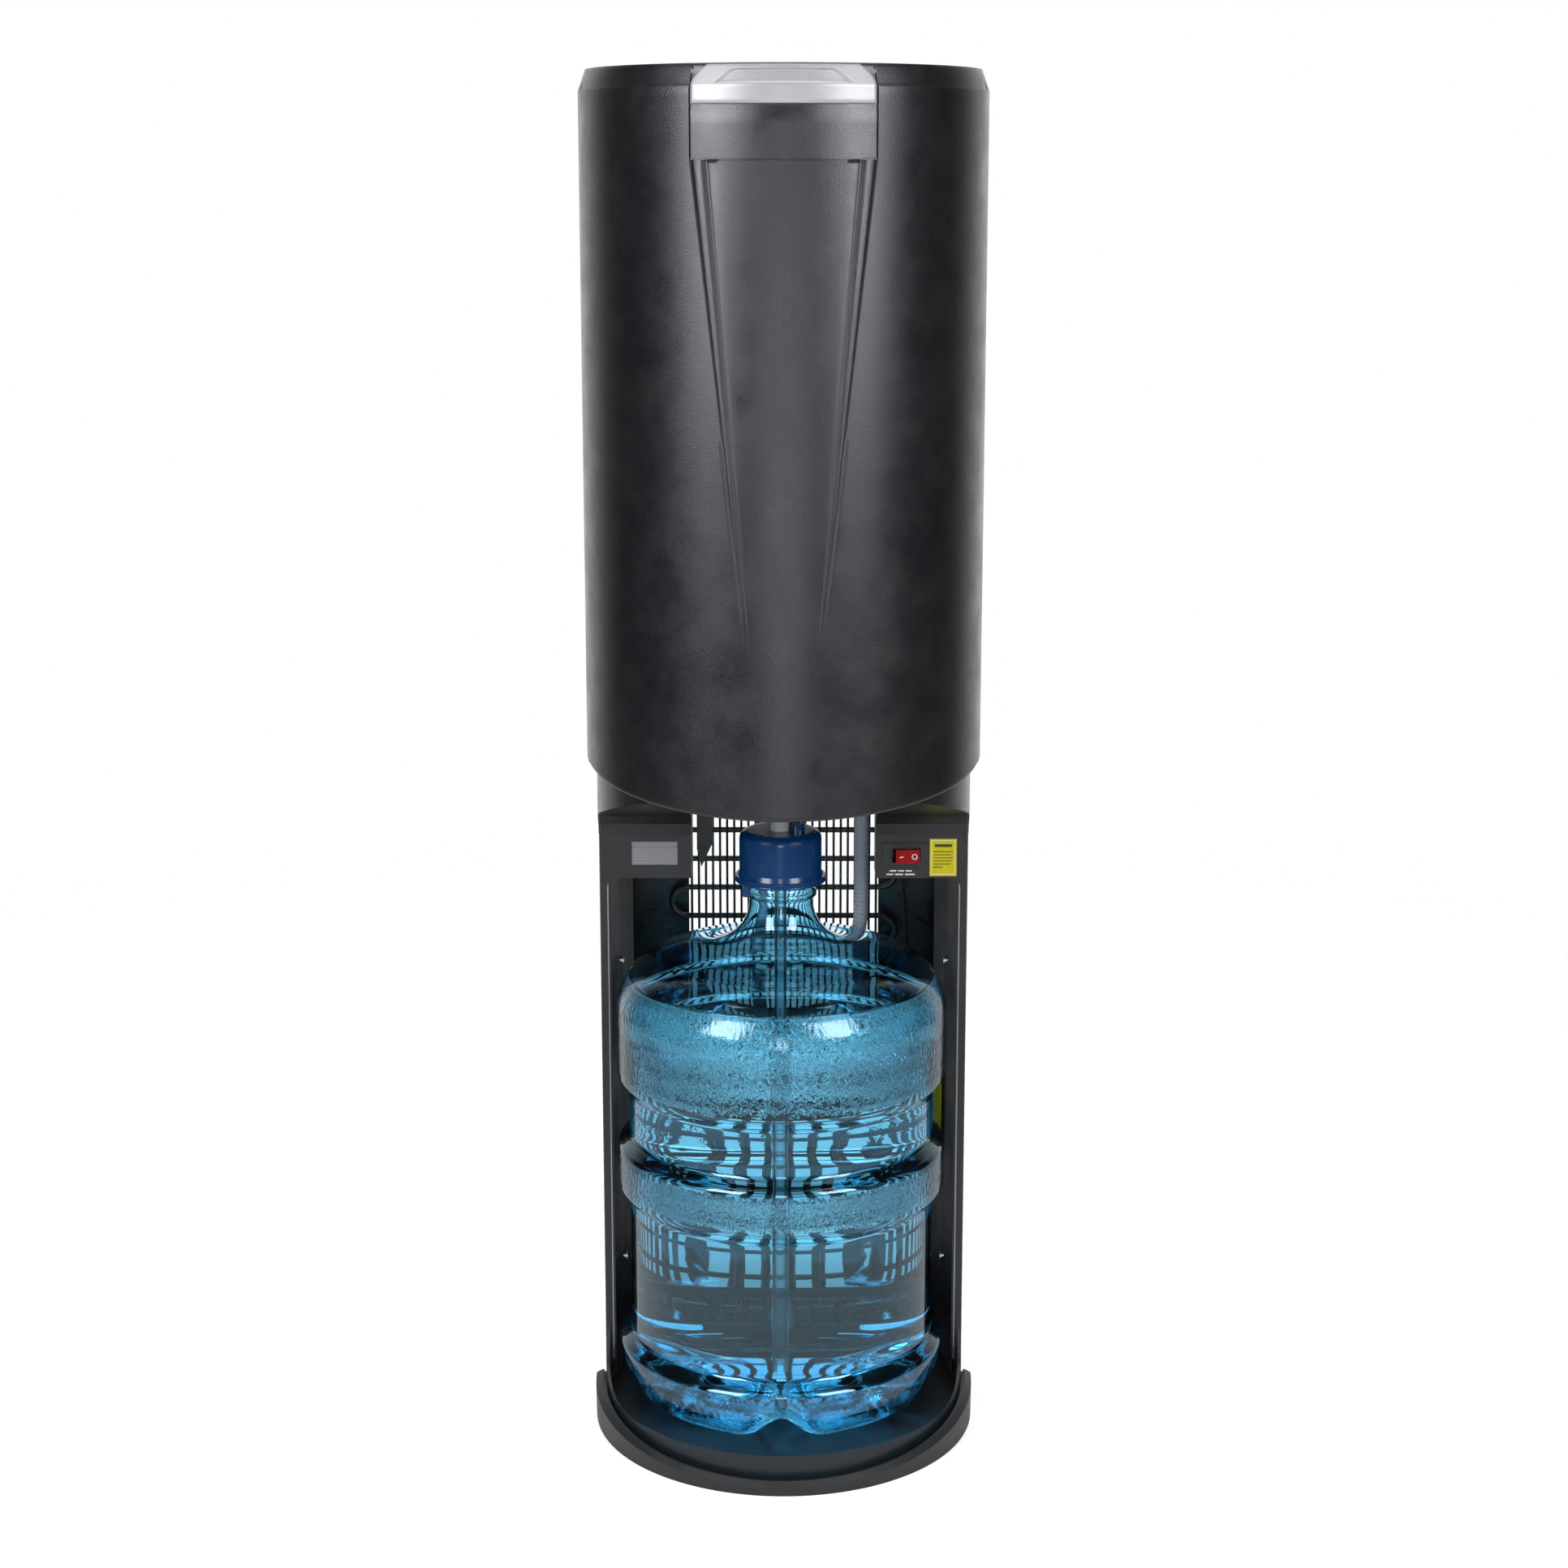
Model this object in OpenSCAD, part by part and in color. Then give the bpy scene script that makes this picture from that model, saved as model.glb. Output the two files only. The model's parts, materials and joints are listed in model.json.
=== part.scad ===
// Bottom-loading water dispenser with a half-round sliding door, bottle, probe and cooling set.
// Origin on the floor under the axis of the half-round front. Front faces -Y, +Z is up.

/* [Cabinet] */
// Radius of the half-round front skin
body_r = 150.4; // [150:0.1:150.8]
// Half width over the side panels
side_x = 151.5; // [151.4:0.1:152]
// Rear face of the cabinet
back_y = 200; // [196:1:204]
// Height of the cabinet's top
top_z = 1096; // [1090:1:1100]
// Front plane of the bottle bay
bay_y = 4; // [3:0.5:6]

/* [Door] */
// Outer radius of the sliding door
door_r = 158; // [157:0.5:159]
// Door wall thickness
door_t = 3.6; // [3:0.1:4]
// Height of the door's top rim when raised
door_top_z = 1103; // [1100:1:1106]
// Height of the line where the rim chamfer starts
door_fold_z = 1087; // [1084:1:1090]
// Height of the door's lower edge at its sides when raised
door_low_z = 571.6; // [568:0.2:575]
// Rise of the lower edge for each millimetre towards the back
door_slope = 0.153; // [0.14:0.001:0.16]

/* [Bottle] */
// Radius of the bottle's wide bands
bottle_r = 135; // [132:1:135]
// Height of the bottle's base on the tray
bottle_z = 26; // [25:0.5:27]
// Sideways place of the bottle's axis
bottle_x = -2; // [-3:0.5:3]
// Water level in the bottle
water_z = 383; // [120:1:384]

/* [Condenser] */
// Spacing of the condenser's tube runs
run_pitch = 26; // [24:1:28]
// Number of tube runs
run_count = 20; // [12:2:20]
// Spacing of the condenser's wires
wire_pitch = 6.25; // [6:0.25:7]

/* [Hidden] */
$fn = 96;

// Base
slope_deg = atan(door_slope);
ring_front_z = 7.6;
ring_mid_z = ring_front_z + door_slope * door_r;
tray_rim_r = 149;
tray_rim_z = 29;
tray_floor_z = bottle_z - 0.3;
// Walls
skin_t = 2.4;
sheet_t = 1.1;
back_sheet_y = back_y - 8;
window_x = 84;
window_low_z = 50;
window_high_z = 545;
// Bay frame: ears stand level with the door's lower edge when it is raised
ear_in_x = 75;
ear_out_x = 149.8;
ear_low_z = 462;
ear_top_z = 498;
strip_w = 5.4;
strip_low_z = 36;
// Profile of the cove over the bay, from the ear face forwards: y and z
cove = [[bay_y, 498], [1, 508], [-6, 516], [-20, 522], [-47, 530], [-109, 551], [-130, 556], [-160, 558]];
// Upper body
alcove_w = 176;
alcove_low_z = 668;
alcove_high_z = 900;
alcove_back_y = -36;
panel_y = -136;
panel_w = 120;
panel_low_z = 928;
panel_high_z = 996;
button_z = 954;
button_r = 12;
button_step = 37;
shelf_z = 600;
// Condenser
cond_y = 180;
cond_low_z = 44;
tube_r = 2.5;
wire_r = 1;
bend_x = 86;
// Probe cap
cap_x = -2.6;
cap_r = 33.5;
flange_r = 36.5;
flange_z = 462;
cap_top_z = 504;
probe_low_z = 48;
// Door parts
handle_w = 136;
insert_top_z = 1035;
insert_low_z = 690;
seam_deg = 78;
door_in_r = door_r - door_t;
rim_r = 152.2;
rim_in_r = 151.3;
// Rails stand beside the bay frame, outside the front skin's reach
rail_y0 = 8;
rail_y1 = 22;
// Route of the probe hose from the gland in the ceiling down behind the bottle and up to the cap
hose_r = 6.5;
hose_path = [
    [67, 127, 548], [67, 127, 520], [67, 127, 492], [67, 127, 464], [67, 127, 436], [67, 127, 408],
    [66, 128, 390], [62, 132, 372], [53, 136, 354], [39, 141, 341], [23, 144, 337], [6, 146, 341],
    [-9, 147, 352], [-19, 147, 369], [-23, 147, 388], [-23, 147, 412], [-22, 144, 436],
    [-20, 139, 460], [-17, 127, 482], [-12, 110, 499], [-8, 90, 509], [-5, 68, 512], [-2.6, 46, 512]
];
// Route of the switch cable, clipped down the right-hand liner to the power inlet
cable_r = 2;
cable_path = [
    [99, 22.3, 481], [99, 32, 478], [98, 42, 470], [98, 56, 452], [100, 78, 436], [103, 100, 418],
    [105, 114, 396], [106, 120, 370], [107, 124, 330], [109, 128, 280], [111, 134, 220],
    [112, 142, 160], [112, 152, 110], [112, 166, 80], [112, 184, 70]
];

// Half disc to the front joined to a rectangle running back
module u_plan(r, y_back) {
    circle(r = r);
    translate([-r, 0]) square([2 * r, y_back]);
}

// Turns a profile (radius, height) through the front half circle
module front_turn(deg = 180) {
    rotate([0, 0, 270 - deg / 2]) rotate_extrude(angle = deg) children();
}

module box(low, high) {
    translate(low) cube(high - low);
}

// Copies left and right
module both_sides() {
    children();
    mirror([1, 0, 0]) children();
}

// One closed tube swept along a route of points
function unit(v) = v / norm(v);
function heading(p, i) = unit(p[min(i + 1, len(p) - 1)] - p[max(i - 1, 0)]);
function side_of(t) = unit(cross(t, abs(t[1]) < 0.8 ? [0, 1, 0] : [1, 0, 0]));
function ring_points(p, i, r, n, s) =
    let (t = heading(p, i), a = unit(s - t * (s * t)), b = cross(t, a))
    [for (k = [0:n - 1]) p[i] + r * (cos(360 * k / n) * a + sin(360 * k / n) * b)];
function carried(p, i, s) =
    let (t = heading(p, i)) unit(s - t * (s * t));
function frames(p, i, s) =
    i >= len(p) ? [] : let (a = carried(p, i, s)) concat([a], frames(p, i + 1, a));

module swept_tube(p, r, n = 10) {
    sides = frames(p, 0, side_of(heading(p, 0)));
    rings = [for (i = [0:len(p) - 1]) each ring_points(p, i, r, n, sides[i])];
    last = (len(p) - 1) * n;
    walls = [for (i = [0:len(p) - 2]) for (k = [0:n - 1])
        each [[i * n + k, i * n + (k + 1) % n, (i + 1) * n + k],
              [i * n + (k + 1) % n, (i + 1) * n + (k + 1) % n, (i + 1) * n + k]]];
    start = [for (k = [1:n - 2]) [0, k + 1, k]];
    end = [for (k = [1:n - 2]) [last, last + k, last + k + 1]];
    polyhedron(points = rings, faces = concat(walls, start, end));
}

// ---- Base ----

// Tilted ring whose top follows the door's lower edge, cut flat on the floor
module base_ring() {
    color("dimgray")
    intersection() {
        rotate([slope_deg, 0, 0])
        union() {
            front_turn() ring_profile();
            both_sides() translate([0, bay_y, 0]) rotate([90, 0, 0])
                linear_extrude(bay_y) ring_profile();
        }
        box([-200, -200, 0], [200, 100, 60]);
    }
}

module ring_profile() {
    high = ring_mid_z;
    polygon([
        [tray_rim_r + 0.4, -60], [door_r, -60], [door_r, high], [door_r - 5, high + 3],
        [tray_rim_r + 2.4, high + 3], [tray_rim_r + 2.4, high + 1], [tray_rim_r + 0.4, high + 1]
    ]);
}

module base_pan() {
    color("darkslategray")
    difference() {
        union() {
            translate([0, 0, 3]) linear_extrude(3) u_plan(tray_rim_r - 2, back_sheet_y - 0.3);
            box([-side_x + sheet_t + 0.2, 30, 3], [side_x - sheet_t - 0.2, back_sheet_y - 0.3, 20]);
        }
        box([-side_x + 6, 20, 6], [side_x - 6, back_sheet_y - 5, 30]);
        for (x = [-125, 125]) translate([x, 172, 0]) cylinder(r = 5.1, h = 30);
    }
}

module rear_feet() {
    color("black")
    for (x = [-125, 125]) translate([x, 172, 0]) {
        cylinder(r1 = 13, r2 = 15, h = 2.9);
        cylinder(r = 5, h = 18);
    }
}

module bottle_tray() {
    wall = 2.4;
    color("dimgray")
    difference() {
        translate([0, 0, 6.3]) linear_extrude(tray_rim_z - 6.3) u_plan(tray_rim_r, 150);
        translate([0, 0, tray_floor_z]) linear_extrude(20) u_plan(tray_rim_r - wall, 150 - wall);
        translate([0, 0, 6]) linear_extrude(tray_floor_z - 9) u_plan(tray_rim_r - wall - 4, 140);
        both_sides() box([143.6, bay_y - 0.3, 0], [160, 160, 40]);
    }
}

// ---- Cabinet walls ----

// Side sheet, starting behind the door's guide rail
module side_panel() {
    color("gray")
    difference() {
        union() {
            box([side_x - sheet_t, rail_y1 + 0.3, 6], [side_x, back_sheet_y, top_z - 16]);
            box([side_x - 14, back_sheet_y - sheet_t, 21], [side_x, back_sheet_y, top_z - 16]);
        }
        for (z = [340, 376]) box([side_x - 5, rail_y1 + 2, z], [side_x + 5, rail_y1 + 4, z + 14]);
        for (z = [680:30:980]) box([side_x - 5, 70, z], [side_x + 5, 150, z + 5]);
    }
}

module side_panel_left() {
    mirror([1, 0, 0]) side_panel();
}

module side_panel_right() {
    side_panel();
}

module back_panel() {
    vent_w = 40;
    color("darkslategray")
    difference() {
        box([-side_x, back_sheet_y + 0.2, 12], [side_x, back_sheet_y + 2.2, top_z - 16]);
        box([-window_x, back_sheet_y - 5, window_low_z], [window_x, back_y, window_high_z]);
        for (z = [640:24:760]) for (x = [-110, -50, 10, 70])
            box([x, back_sheet_y - 5, z], [x + vent_w, back_y, z + 8]);
        translate([112, back_y, 70]) rotate([90, 0, 0]) cylinder(r = 9.1, h = 20);
    }
}

module power_inlet() {
    color("black")
    translate([112, back_y, 70]) rotate([90, 0, 0]) difference() {
        union() {
            cylinder(r = 13, h = 5.7);
            cylinder(r = 9, h = 16);
        }
        translate([0, 0, -1]) cylinder(r = 3.5, h = 30);
    }
}

// ---- Condenser ----

module condenser_tube() {
    turn_r = run_pitch / 2;
    color("black")
    union() {
        for (i = [0:run_count - 1])
            translate([-bend_x, cond_y, cond_low_z + i * run_pitch])
                rotate([0, 90, 0]) cylinder(r = tube_r, h = 2 * bend_x, $fn = 24);
        for (i = [0:run_count - 2])
            translate([i % 2 == 0 ? bend_x : -bend_x, cond_y, cond_low_z + (i + 0.5) * run_pitch])
                rotate([90, 0, 0]) rotate([0, 0, i % 2 == 0 ? -90 : 90])
                    rotate_extrude(angle = 180) translate([turn_r, 0]) circle(r = tube_r, $fn = 24);
    }
}

module condenser_wires() {
    high = (run_count - 1) * run_pitch + 24;
    gap = tube_r + wire_r - 0.1;
    color("black")
    for (x = [-81:wire_pitch:82]) for (y = [cond_y - gap, cond_y + gap])
        translate([x, y, cond_low_z - 12]) cylinder(r = wire_r, h = high, $fn = 16);
}

module condenser_brackets() {
    color("black")
    both_sides() {
        for (z = [cond_low_z + 2.7, 436.7])
            box([83, cond_y - 12, z], [90, back_sheet_y + 0.1, z + 20]);
        translate([0, cond_y - 12, 0]) rotate([90, 0, 0]) linear_extrude(2)
            polygon([[62, 500], [76, 500], [76, 446], [72, 430], [62, 452]]);
    }
}

// ---- Bay frame and liners ----

// Solid block above the cove surface, used to trim what meets the bay
module above_cove(lift = 0) {
    rotate([90, 0, 90]) translate([0, 0, -200]) linear_extrude(400)
        polygon(concat(
            [for (p = cove) [p[0], p[1] + lift]],
            [[-200, 558 + lift], [-200, 1400], [bay_y, 1400]]
        ));
}

// Upright strip, ear and cove of one side, a single moulding
module bay_frame() {
    inner_r = body_r - skin_t - 0.3;
    color("dimgray")
    difference() {
        union() {
            // ear with its face on the bay's front plane
            box([ear_in_x, bay_y, ear_low_z], [ear_out_x, bay_y + 34, ear_top_z + 40]);
            // upright strip
            box([ear_out_x - strip_w, bay_y, strip_low_z], [ear_out_x, rail_y0 - 0.3, ear_low_z]);
            // fillet between ear and strip
            difference() {
                box([ear_out_x - strip_w - 9, bay_y, ear_low_z - 9],
                    [ear_out_x - strip_w, rail_y0 - 0.3, ear_low_z]);
                translate([ear_out_x - strip_w - 9, 20, ear_low_z - 9]) rotate([90, 0, 0])
                    cylinder(r = 9, h = 40, $fn = 64);
            }
            // cove sheet
            intersection() {
                difference() {
                    above_cove();
                    above_cove(3);
                }
                linear_extrude(700) difference() {
                    circle(r = inner_r);
                    translate([-200, -48]) square([200 + ear_in_x, 400]);
                    translate([-200, -200]) square([200.15, 400]);
                }
            }
            // gusset that sweeps from the strip forwards to the tray rim
            intersection() {
                linear_extrude(80) difference() {
                    circle(r = tray_rim_r - 0.2);
                    circle(r = tray_rim_r - 2.4);
                    translate([-200, -200]) square([300, 400]);
                }
                translate([180, 0, 0]) rotate([90, 0, -90]) linear_extrude(100) polygon(concat(
                    [[62, tray_rim_z + 0.2]], [for (i = [0:8]) let (a = 90 * i / 8)
                        [62 - 66 * sin(a), tray_rim_z + 0.2 + 50 * (1 - cos(a))]],
                    [[-bay_y, tray_rim_z + 0.2]]
                ));
            }
            box([tray_rim_r - 3.4, bay_y - 0.2, tray_rim_z + 0.2], [tray_rim_r - 0.2, rail_y0 - 0.3, 80]);
        }
        // hollow of the ear, open at the back and the top
        box([ear_in_x + 2.6, bay_y + 2.6, ear_low_z + 2.6], [ear_out_x - 2.6, 60, ear_top_z + 60]);
        // rail passes down the outside
        box([142.6, rail_y0 - 0.3, 0], [160, 60, 700]);
        children();
    }
}

module bay_frame_left() {
    mirror([1, 0, 0]) bay_frame() {
        box([105.2 - 19, -10, 482.6 - 10], [105.2 + 19, bay_y + 10, 482.6 + 10]);
    }
}

module bay_frame_right() {
    bay_frame() {
        box([82.6, -10, 472.8], [115.4, bay_y + 10, 489.8]);
    }
}

module indicator_window() {
    color("silver")
    translate([-105.2, 0, 482.6]) {
        box([-18.8, bay_y + 1.2, -9.8], [18.8, bay_y + 2.6, 9.8]);
        box([-21, bay_y + 2.7, -12], [21, bay_y + 4.2, 12]);
        box([-14, bay_y + 2.5, -6], [14, bay_y + 2.8, 6]);
    }
}

module switch_bezel() {
    color("dimgray")
    difference() {
        union() {
            box([80.6, bay_y - 1.6, 471.2], [117.2, bay_y - 0.05, 491.4]);
            box([82.8, bay_y - 0.1, 473], [115.2, bay_y + 18, 489.6]);
        }
        box([88.4, bay_y - 3, 475.4], [111.6, bay_y + 14, 487.2]);
        translate([100, bay_y + 4.5, 470]) cylinder(r = 1.55, h = 25, $fn = 24);
    }
}

// Rocker pressed in at its right-hand end
module power_switch() {
    color("red")
    translate([100, bay_y + 4.5, 0]) rotate([0, 0, 7]) difference() {
        union() {
            intersection() {
                box([-9.8, -11.6, 475.9], [9.8, 3, 486.7]);
                translate([0, 8, 470]) cylinder(r = 20, h = 20);
            }
            translate([0, 0, 474]) cylinder(r = 1.5, h = 14.6, $fn = 24);
        }
        translate([0, -28, 470]) cylinder(r = 18, h = 20);
    }
}

module notice_label() {
    color("gold")
    box([119, bay_y - 0.35, 463.8], [141, bay_y - 0.05, 495]);
}

module bay_liner() {
    color("dimgray")
    difference() {
        translate([0, 0, 29.2]) linear_extrude(ear_low_z - 30) polygon([
            [141.6, rail_y0], [140, 20], [136.5, 40], [131.5, 58], [127, 72],
            [129, 73], [133.4, 59], [138.4, 41], [142, 21], [143.2, rail_y0]
        ]);
        for (z = [120, 382]) translate([100, 41, z]) rotate([0, 90, 0]) cylinder(r = 2.2, h = 60, $fn = 32);
    }
}

module bay_liner_left() {
    mirror([1, 0, 0]) bay_liner();
}

module bay_liner_right() {
    bay_liner();
}

module liner_screws() {
    color("silver")
    both_sides() for (z = [120, 382]) translate([0, 41, z]) rotate([0, 90, 0]) {
        translate([0, 0, 133.2]) cylinder(r = 3.6, h = 1.6, $fn = 32);
        translate([0, 0, 133.2]) cylinder(r = 2, h = 9.6, $fn = 32);
    }
}

module guide_rails() {
    color("silver")
    both_sides() difference() {
        box([143.4, rail_y0, 40], [150.2, rail_y1, top_z - 18]);
        box([146.8, rail_y0 + 3.6, 30], [151, rail_y0 + 10.4, top_z]);
        box([144.6, rail_y0 + 2, 30], [147.2, rail_y0 + 12, top_z]);
    }
}

// ---- Upper body ----

module upper_front() {
    color("slategray")
    difference() {
        intersection() {
            union() {
                front_turn() skin_section();
                both_sides() translate([0, bay_y - 0.4, 0]) rotate([90, 0, 0])
                    linear_extrude(bay_y) skin_section();
            }
            above_cove();
        }
        box([-alcove_w / 2, -200, alcove_low_z], [alcove_w / 2, -20, alcove_high_z]);
        box([-panel_w / 2 - 0.2, -200, panel_low_z - 0.2], [panel_w / 2 + 0.2, -20, panel_high_z + 0.2]);
    }
}

module skin_section() {
    translate([body_r - skin_t, 480]) square([skin_t, top_z - 16.2 - 480]);
}

module alcove_liner() {
    w = alcove_w / 2;
    t = 2;
    color("black")
    intersection() {
        difference() {
            box([-w - t, -152, alcove_low_z - t], [w + t, alcove_back_y + t, alcove_high_z + t]);
            box([-w + 0.2, -160, alcove_low_z + 0.2], [w - 0.2, alcove_back_y, alcove_high_z - 0.2]);
            for (x = [-36, 0, 36]) translate([x, -84, alcove_high_z - 10]) cylinder(r = 9.1, h = 20);
        }
        linear_extrude(1000) circle(r = body_r - skin_t - 0.2, $fn = 128);
    }
}

module dispensing_spouts() {
    color("silver")
    for (x = [-36, 0, 36]) translate([x, -84, 0]) rotate_extrude() polygon([
        [4, 866], [6.5, 866], [8.9, 884], [8.9, alcove_high_z + 2.1], [13, alcove_high_z + 2.1],
        [13, alcove_high_z + 6], [8, alcove_high_z + 6], [8, alcove_high_z + 24], [4, alcove_high_z + 24]
    ]);
}

module control_panel() {
    color("black")
    difference() {
        union() {
            box([-panel_w / 2, panel_y, panel_low_z], [panel_w / 2, panel_y + 3, panel_high_z]);
            box([-panel_w / 2 + 2, panel_y + 2.9, panel_low_z + 2],
                [panel_w / 2 - 2, panel_y + 14, panel_high_z - 2]);
        }
        box([-panel_w / 2 + 4, panel_y + 5, panel_low_z + 4],
            [panel_w / 2 - 4, panel_y + 20, panel_high_z - 4]);
        for (x = [-1, 0, 1]) translate([x * button_step, panel_y + 8, 0]) {
            translate([0, 0, button_z]) rotate([90, 0, 0]) cylinder(r = button_r + 0.3, h = 20);
            translate([0, 0, button_z + 26]) rotate([90, 0, 0]) cylinder(r = 2.3, h = 20, $fn = 32);
        }
    }
}

module push_button(i, c) {
    color(c)
    translate([i * button_step, panel_y + 4.6, button_z]) rotate([90, 0, 0]) {
        cylinder(r = button_r, h = 8.6, $fn = 64);
        translate([0, 0, -4]) cylinder(r = 4, h = 4.1, $fn = 32);
    }
}

module button_hot() {
    push_button(-1, "firebrick");
}

module button_room() {
    push_button(0, "lightgray");
}

module button_cold() {
    push_button(1, "royalblue");
}

module indicator_lights() {
    color("white")
    for (x = [-1, 0, 1]) translate([x * button_step, panel_y + 6, button_z + 26]) rotate([90, 0, 0])
        cylinder(r = 2.2, h = 6.6, $fn = 32);
}

module drip_tray() {
    w = alcove_w / 2 - 1;
    low = alcove_low_z + 0.6;
    color("dimgray")
    difference() {
        drip_outline(w, alcove_back_y - 1, body_r - 4, low, 20);
        drip_outline(w - 2.4, alcove_back_y - 3.4, body_r - 6.4, low + 2, 30);
        drip_outline(w - 1, alcove_back_y - 2, body_r - 5, low + 17, 30);
    }
}

module drip_outline(w, y_back, r, z, h) {
    translate([0, 0, z]) linear_extrude(h) intersection() {
        circle(r = r, $fn = 128);
        translate([-w, -200]) square([2 * w, 200 + y_back]);
    }
}

module drip_grille() {
    w = alcove_w / 2 - 2.3;
    z = alcove_low_z + 17.8;
    color("silver")
    difference() {
        drip_outline(w, alcove_back_y - 3.3, body_r - 6.3, z, 2.6);
        for (x = [-75:10:75]) box([x - 2.2, -118, z - 1], [x + 2.2, -48, z + 5]);
    }
}

module top_cover() {
    low = top_z - 16;
    color("slategray")
    difference() {
        union() {
            translate([0, 0, low]) linear_extrude(12) u_plan(body_r, back_y - 2);
            translate([0, 0, low + 12]) linear_extrude(4) u_plan(body_r - 3, back_y - 5);
        }
        translate([0, 0, low - 1]) linear_extrude(10) u_plan(body_r - 4, back_y - 12);
    }
}

// ---- Cooling, heating and pumping ----

module equipment_shelf() {
    color("gainsboro")
    difference() {
        translate([0, 0, shelf_z]) linear_extrude(2) u_plan(142, 190);
        for (x = [25, 105]) for (y = [60, 150])
            translate([x, y, shelf_z - 5]) cylinder(r = 5.1, h = 10, $fn = 32);
    }
}

module compressor_feet() {
    color("black")
    for (x = [25, 105]) for (y = [60, 150]) translate([x, y, shelf_z]) {
        translate([0, 0, 2.1]) cylinder(r = 10, h = 9.8, $fn = 48);
        translate([0, 0, -3]) cylinder(r = 5, h = 15.5, $fn = 32);
    }
}

module compressor() {
    color("black")
    translate([65, 105, 0]) {
        difference() {
            box([-52, -56, shelf_z + 12.1], [52, 56, shelf_z + 15]);
            for (x = [-40, 40]) for (y = [-45, 45])
                translate([x, y, shelf_z]) cylinder(r = 5.1, h = 30, $fn = 32);
        }
        translate([0, 0, shelf_z + 14.9]) rotate_extrude() polygon([
            [0, 0], [40, 0], [52, 14], [56, 30], [56, 34], [59, 34], [59, 40], [56, 40],
            [56, 70], [46, 96], [26, 110], [0, 114]
        ]);
    }
}

module cold_insulation() {
    color("white")
    translate([-65, 92, 0]) difference() {
        translate([0, 0, 770]) cylinder(r = 78, h = 240);
        translate([0, 0, 790]) cylinder(r = 58.3, h = 200);
        translate([0, 0, 760]) cylinder(r = 5, h = 60);
        translate([0, 0, 980]) cylinder(r = 5, h = 60);
    }
}

module cold_tank() {
    color("silver")
    translate([-65, 92, 0]) rotate_extrude() polygon([
        [3.2, 762], [4.6, 762], [4.6, 790.3], [50, 790.3], [58, 798], [58, 981], [50, 989.4],
        [4.6, 989.4], [4.6, 1018], [3.2, 1018], [3.2, 988], [49, 988], [56.8, 980.4], [56.8, 798.6],
        [49.4, 791.6], [3.2, 791.6]
    ]);
}

module hot_tank() {
    color("silver")
    translate([75, 100, 0]) rotate_extrude() polygon([
        [3.2, 762], [4.6, 762], [4.6, 780], [40, 780], [48, 788], [48, 952], [40, 960],
        [4.6, 960], [4.6, 978], [3.2, 978], [3.2, 958.6], [39.4, 958.6], [46.6, 951.4],
        [46.6, 788.6], [39.4, 781.4], [3.2, 781.4]
    ]);
}

module heater_band() {
    color("peru")
    translate([75, 100, 0]) {
        for (z = [800, 860]) difference() {
            translate([0, 0, z]) cylinder(r = 50.4, h = 30);
            translate([0, 0, z - 1]) cylinder(r = 48.3, h = 32);
        }
        box([-8, -62, 836], [8, -48.5, 852]);
    }
}

module water_pump() {
    color("black")
    translate([-88, 40, 0]) {
        translate([0, 0, shelf_z + 2.1]) cylinder(r = 24, h = 52);
        translate([0, 0, shelf_z + 54]) cylinder(r = 18, h = 14);
        translate([0, -20, shelf_z + 60]) rotate([90, 0, 0]) cylinder(r = 4, h = 12, $fn = 32);
    }
}

module filter_dryer() {
    color("peru")
    translate([-30, 168, 0]) rotate_extrude($fn = 48) polygon([
        [0, 640], [2.5, 640], [2.5, 652], [9, 662], [9, 730], [2.5, 740], [2.5, 752], [0, 752]
    ]);
}

module refrigerant_lines() {
    color("peru")
    union() {
        swept_tube([[-86, cond_y, 538], [-104, 178, 545], [-112, 176, 570], [-108, 175, 592],
            [-80, 172, 612], [-50, 169, 622], [-32, 168, 630], [-30, 168, 640]], 2.4, 8);
        swept_tube([[-30, 168, 752], [-34, 168, 780], [-52, 171, 800], [-65, 171.6, 824],
            [-65, 171.6, 900]], 1.6, 8);
        swept_tube([[65, 162, 660], [60, 172, 690], [40, 176, 726], [0, 176, 760], [-30, 175, 800],
            [-50, 172, 850], [-56, 171.6, 900]], 3, 8);
    }
}

module water_lines() {
    color("white")
    union() {
        swept_tube([[-88, 8, 660], [-88, -14, 672], [-96, -20, 700], [-84, 10, 735], [-70, 60, 748],
            [-65, 88, 752], [-65, 92, 762]], 4, 8);
        swept_tube([[75, 100, 978], [70, 60, 1005], [50, -10, 1010], [38, -60, 990],
            [36, -84, 960], [36, -84, 924]], 4, 8);
        swept_tube([[-112, 40, 636], [-118, 20, 680], [-110, -10, 760], [-90, -24, 860], [-50, -24, 930],
            [-14, -50, 962], [0, -84, 960], [0, -84, 924]], 4, 8);
        swept_tube([[-65, 92, 1018], [-62, 60, 1036], [-50, 0, 1030], [-38, -60, 1000],
            [-36, -84, 960], [-36, -84, 924]], 4, 8);
    }
}

module control_board() {
    color("darkgreen")
    union() {
        box([-55, -116, 1004], [55, -114.4, 1062]);
        for (x = [-40, -10, 20]) box([x, -114.5, 1016], [x + 18, -102, 1030]);
    }
}

// ---- Bottle, probe and hose ----

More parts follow.
